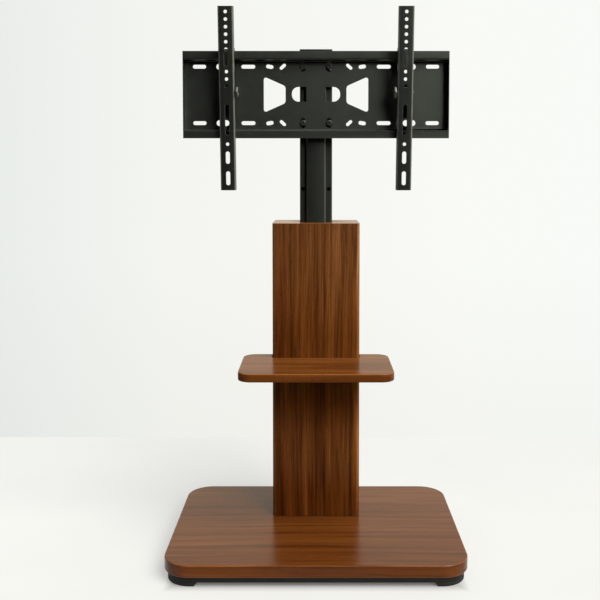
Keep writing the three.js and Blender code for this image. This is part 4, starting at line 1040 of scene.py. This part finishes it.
# Floor
def floor_material():
    """A pale floor that keeps shadows; part of its white is only shown to the camera and in reflections."""
    g = Graph("studio_floor")
    place = g.place()
    tint = g.noise(place, 3.0, 2.0)
    shade = g.mix(g.span(tint, 0.3, 0.7), (0.41, 0.413, 0.398, 1), (0.43, 0.433, 0.418, 1))
    path = g.node("ShaderNodeLightPath").outputs
    across, back, _ = g.split(place)
    # The camera sees a darker floor that glows more, so that the shadows on it are soft, far back most of all
    dimmed = g.mix(g.span(back, 0.15, 0.55, 0.24, 0.5), shade, (0, 0, 0, 1))
    # Lamps and reflections meet a floor that is darker before the stand and to its left
    near = g.times(g.span(back, -0.6, -0.2, 0.1, 1.0), g.span(across, -1.2, -0.35, 0.2, 1.0))
    lit = g.math("MAXIMUM", path["Is Camera Ray"], near)
    shade = g.mix(path["Is Camera Ray"], shade, dimmed)
    g.link(g.mix(lit, (0, 0, 0, 1), shade), g.shader.inputs["Base Color"])
    mirrored = g.math("MAXIMUM", path["Is Glossy Ray"], path["Is Transmission Ray"])
    glow = g.times(path["Is Camera Ray"], g.span(back, 0.15, 0.55, 0.415, 0.565))
    # Painted contact shadow: under the base and just before it the glow fades, which darkens the floor there
    # beyond its real shadow
    contact_shadow_factor = g.math("MAXIMUM", g.span(g.math("ABSOLUTE", across), 0.3, 0.32, 0.25, 1.0),
                     g.span(g.math("ABSOLUTE", back), 0.215, 0.24, 0.25, 1.0))
    glow = g.times(glow, contact_shadow_factor)
    g.link(g.math("MAXIMUM", glow, g.times(g.times(mirrored, lit), 0.26)),
           g.shader.inputs["Emission Strength"])
    g.constants(Roughness=0.8, Specular_IOR_Level=0.0)
    g.shader.inputs["Emission Color"].default_value = (1.0, 1.0, 0.97, 1)
    return g.material


# The floor ends where the photograph's wall begins, and the world is that wall
WALL_Y = 785
FLOOR_HALF, FLOOR_FRONT, FLOOR_LOW, FLOOR_TOP = 3000, -3500, -10, -0.3
floor_outline = box_outline(-FLOOR_HALF, FLOOR_FRONT, FLOOR_HALF, WALL_Y)
floor = new_object("studio_floor", prism(floor_outline, FLOOR_LOW, FLOOR_TOP, "plan"))
floor.data.materials.append(floor_material())


# Camera, fitted to the photograph: how far in front it stands and how high, in metres, how many degrees
# it looks down, its lens and the shift of its picture
CAMERA_AWAY, CAMERA_UP, CAMERA_DOWN = 1.9401, 0.8623, 3.09
LENS, SHIFT_X, SHIFT_Y = 50.68, -0.0267, -0.1349
camera = bpy.data.objects.new("camera", bpy.data.cameras.new("camera"))
bpy.context.scene.collection.objects.link(camera)
camera.location = (0, -CAMERA_AWAY, CAMERA_UP)
camera.rotation_euler = (math.radians(90 - CAMERA_DOWN), 0, 0)
camera.data.lens = LENS
camera.data.shift_x = SHIFT_X
camera.data.shift_y = SHIFT_Y
bpy.context.scene.camera = camera


# Lights
def from_the_front(azimuth, elevation):
    """The direction towards a lamp, in degrees to the right of the front and above the floor."""
    turn, rise = math.radians(azimuth), math.radians(elevation)
    return Vector((math.sin(turn) * math.cos(rise), -math.cos(turn) * math.cos(rise), math.sin(rise)))


def aim(lamp, towards):
    bpy.context.scene.collection.objects.link(lamp)
    lamp.rotation_euler = towards.to_track_quat("Z", "Y").to_euler()


def sun(name, azimuth, elevation, strength, spread, colour):
    lamp = bpy.data.lights.new(name, "SUN")
    lamp.energy = strength
    lamp.angle = math.radians(spread)
    lamp.color = colour
    aim(bpy.data.objects.new(name, lamp), from_the_front(azimuth, elevation))


sun("key", azimuth=47, elevation=50, strength=3.85, spread=42, colour=(1, 0.985, 0.96))
sun("low_softbox", azimuth=28, elevation=22, strength=1.35, spread=26, colour=(1, 0.99, 0.97))


# World: dim in front on the left, bright behind and on the right, and a nearly white wall to the camera
def studio_world():
    world = bpy.data.worlds.new("studio")
    g = Graph("studio", world)
    g.tree.nodes.clear()
    towards = g.node("ShaderNodeTexCoord").outputs["Generated"]

    def towards_side(*side):
        facing = g.node("ShaderNodeVectorMath", operation="DOT_PRODUCT")
        g.link(towards, facing.inputs[0])
        facing.inputs[1].default_value = Vector(side).normalized()
        return facing.outputs["Value"]

    towards_x, _, towards_z = g.split(towards)
    soft = g.node("ShaderNodeBackground")
    g.link(g.span(towards_side(0.4, 0.5, 0.7), -0.5, 0.85, 0.08, 0.9), soft.inputs["Strength"])
    mirrored = g.node("ShaderNodeBackground")
    mirrored.inputs["Color"].default_value = (1, 0.91, 0.74, 1)
    g.link(g.span(towards_side(0.55, 0.75, 0.25), -0.35, 0.4, 0.01, 1.0), mirrored.inputs["Strength"])
    shown = g.node("ShaderNodeBackground")
    wall = g.ramp(g.span(towards_x, -0.36, 0.36), [
        (0.0, srgb(233, 237, 234)), (0.26, srgb(244, 245, 240)), (0.5, srgb(246, 247, 242)),
        (0.74, srgb(249, 250, 246)), (1.0, srgb(247, 250, 246)),
    ])
    foot = g.mix(g.span(towards_z, -0.1, -0.3), (1, 1, 1, 1), (0.95, 0.95, 0.945, 1))
    g.link(g.mix(1.0, wall, foot, "MULTIPLY"), shown.inputs["Color"])

    path = g.node("ShaderNodeLightPath").outputs
    glossy = g.node("ShaderNodeMixShader")
    g.link(g.math("MAXIMUM", path["Is Glossy Ray"], path["Is Transmission Ray"]), glossy.inputs[0])
    g.link(soft.outputs[0], glossy.inputs[1])
    g.link(mirrored.outputs[0], glossy.inputs[2])
    seen = g.node("ShaderNodeMixShader")
    g.link(path["Is Camera Ray"], seen.inputs[0])
    g.link(glossy.outputs[0], seen.inputs[1])
    g.link(shown.outputs[0], seen.inputs[2])
    g.link(seen.outputs[0], g.node("ShaderNodeOutputWorld").inputs["Surface"])
    return world


bpy.context.scene.world = studio_world()
bpy.context.scene.view_settings.view_transform = "Standard"
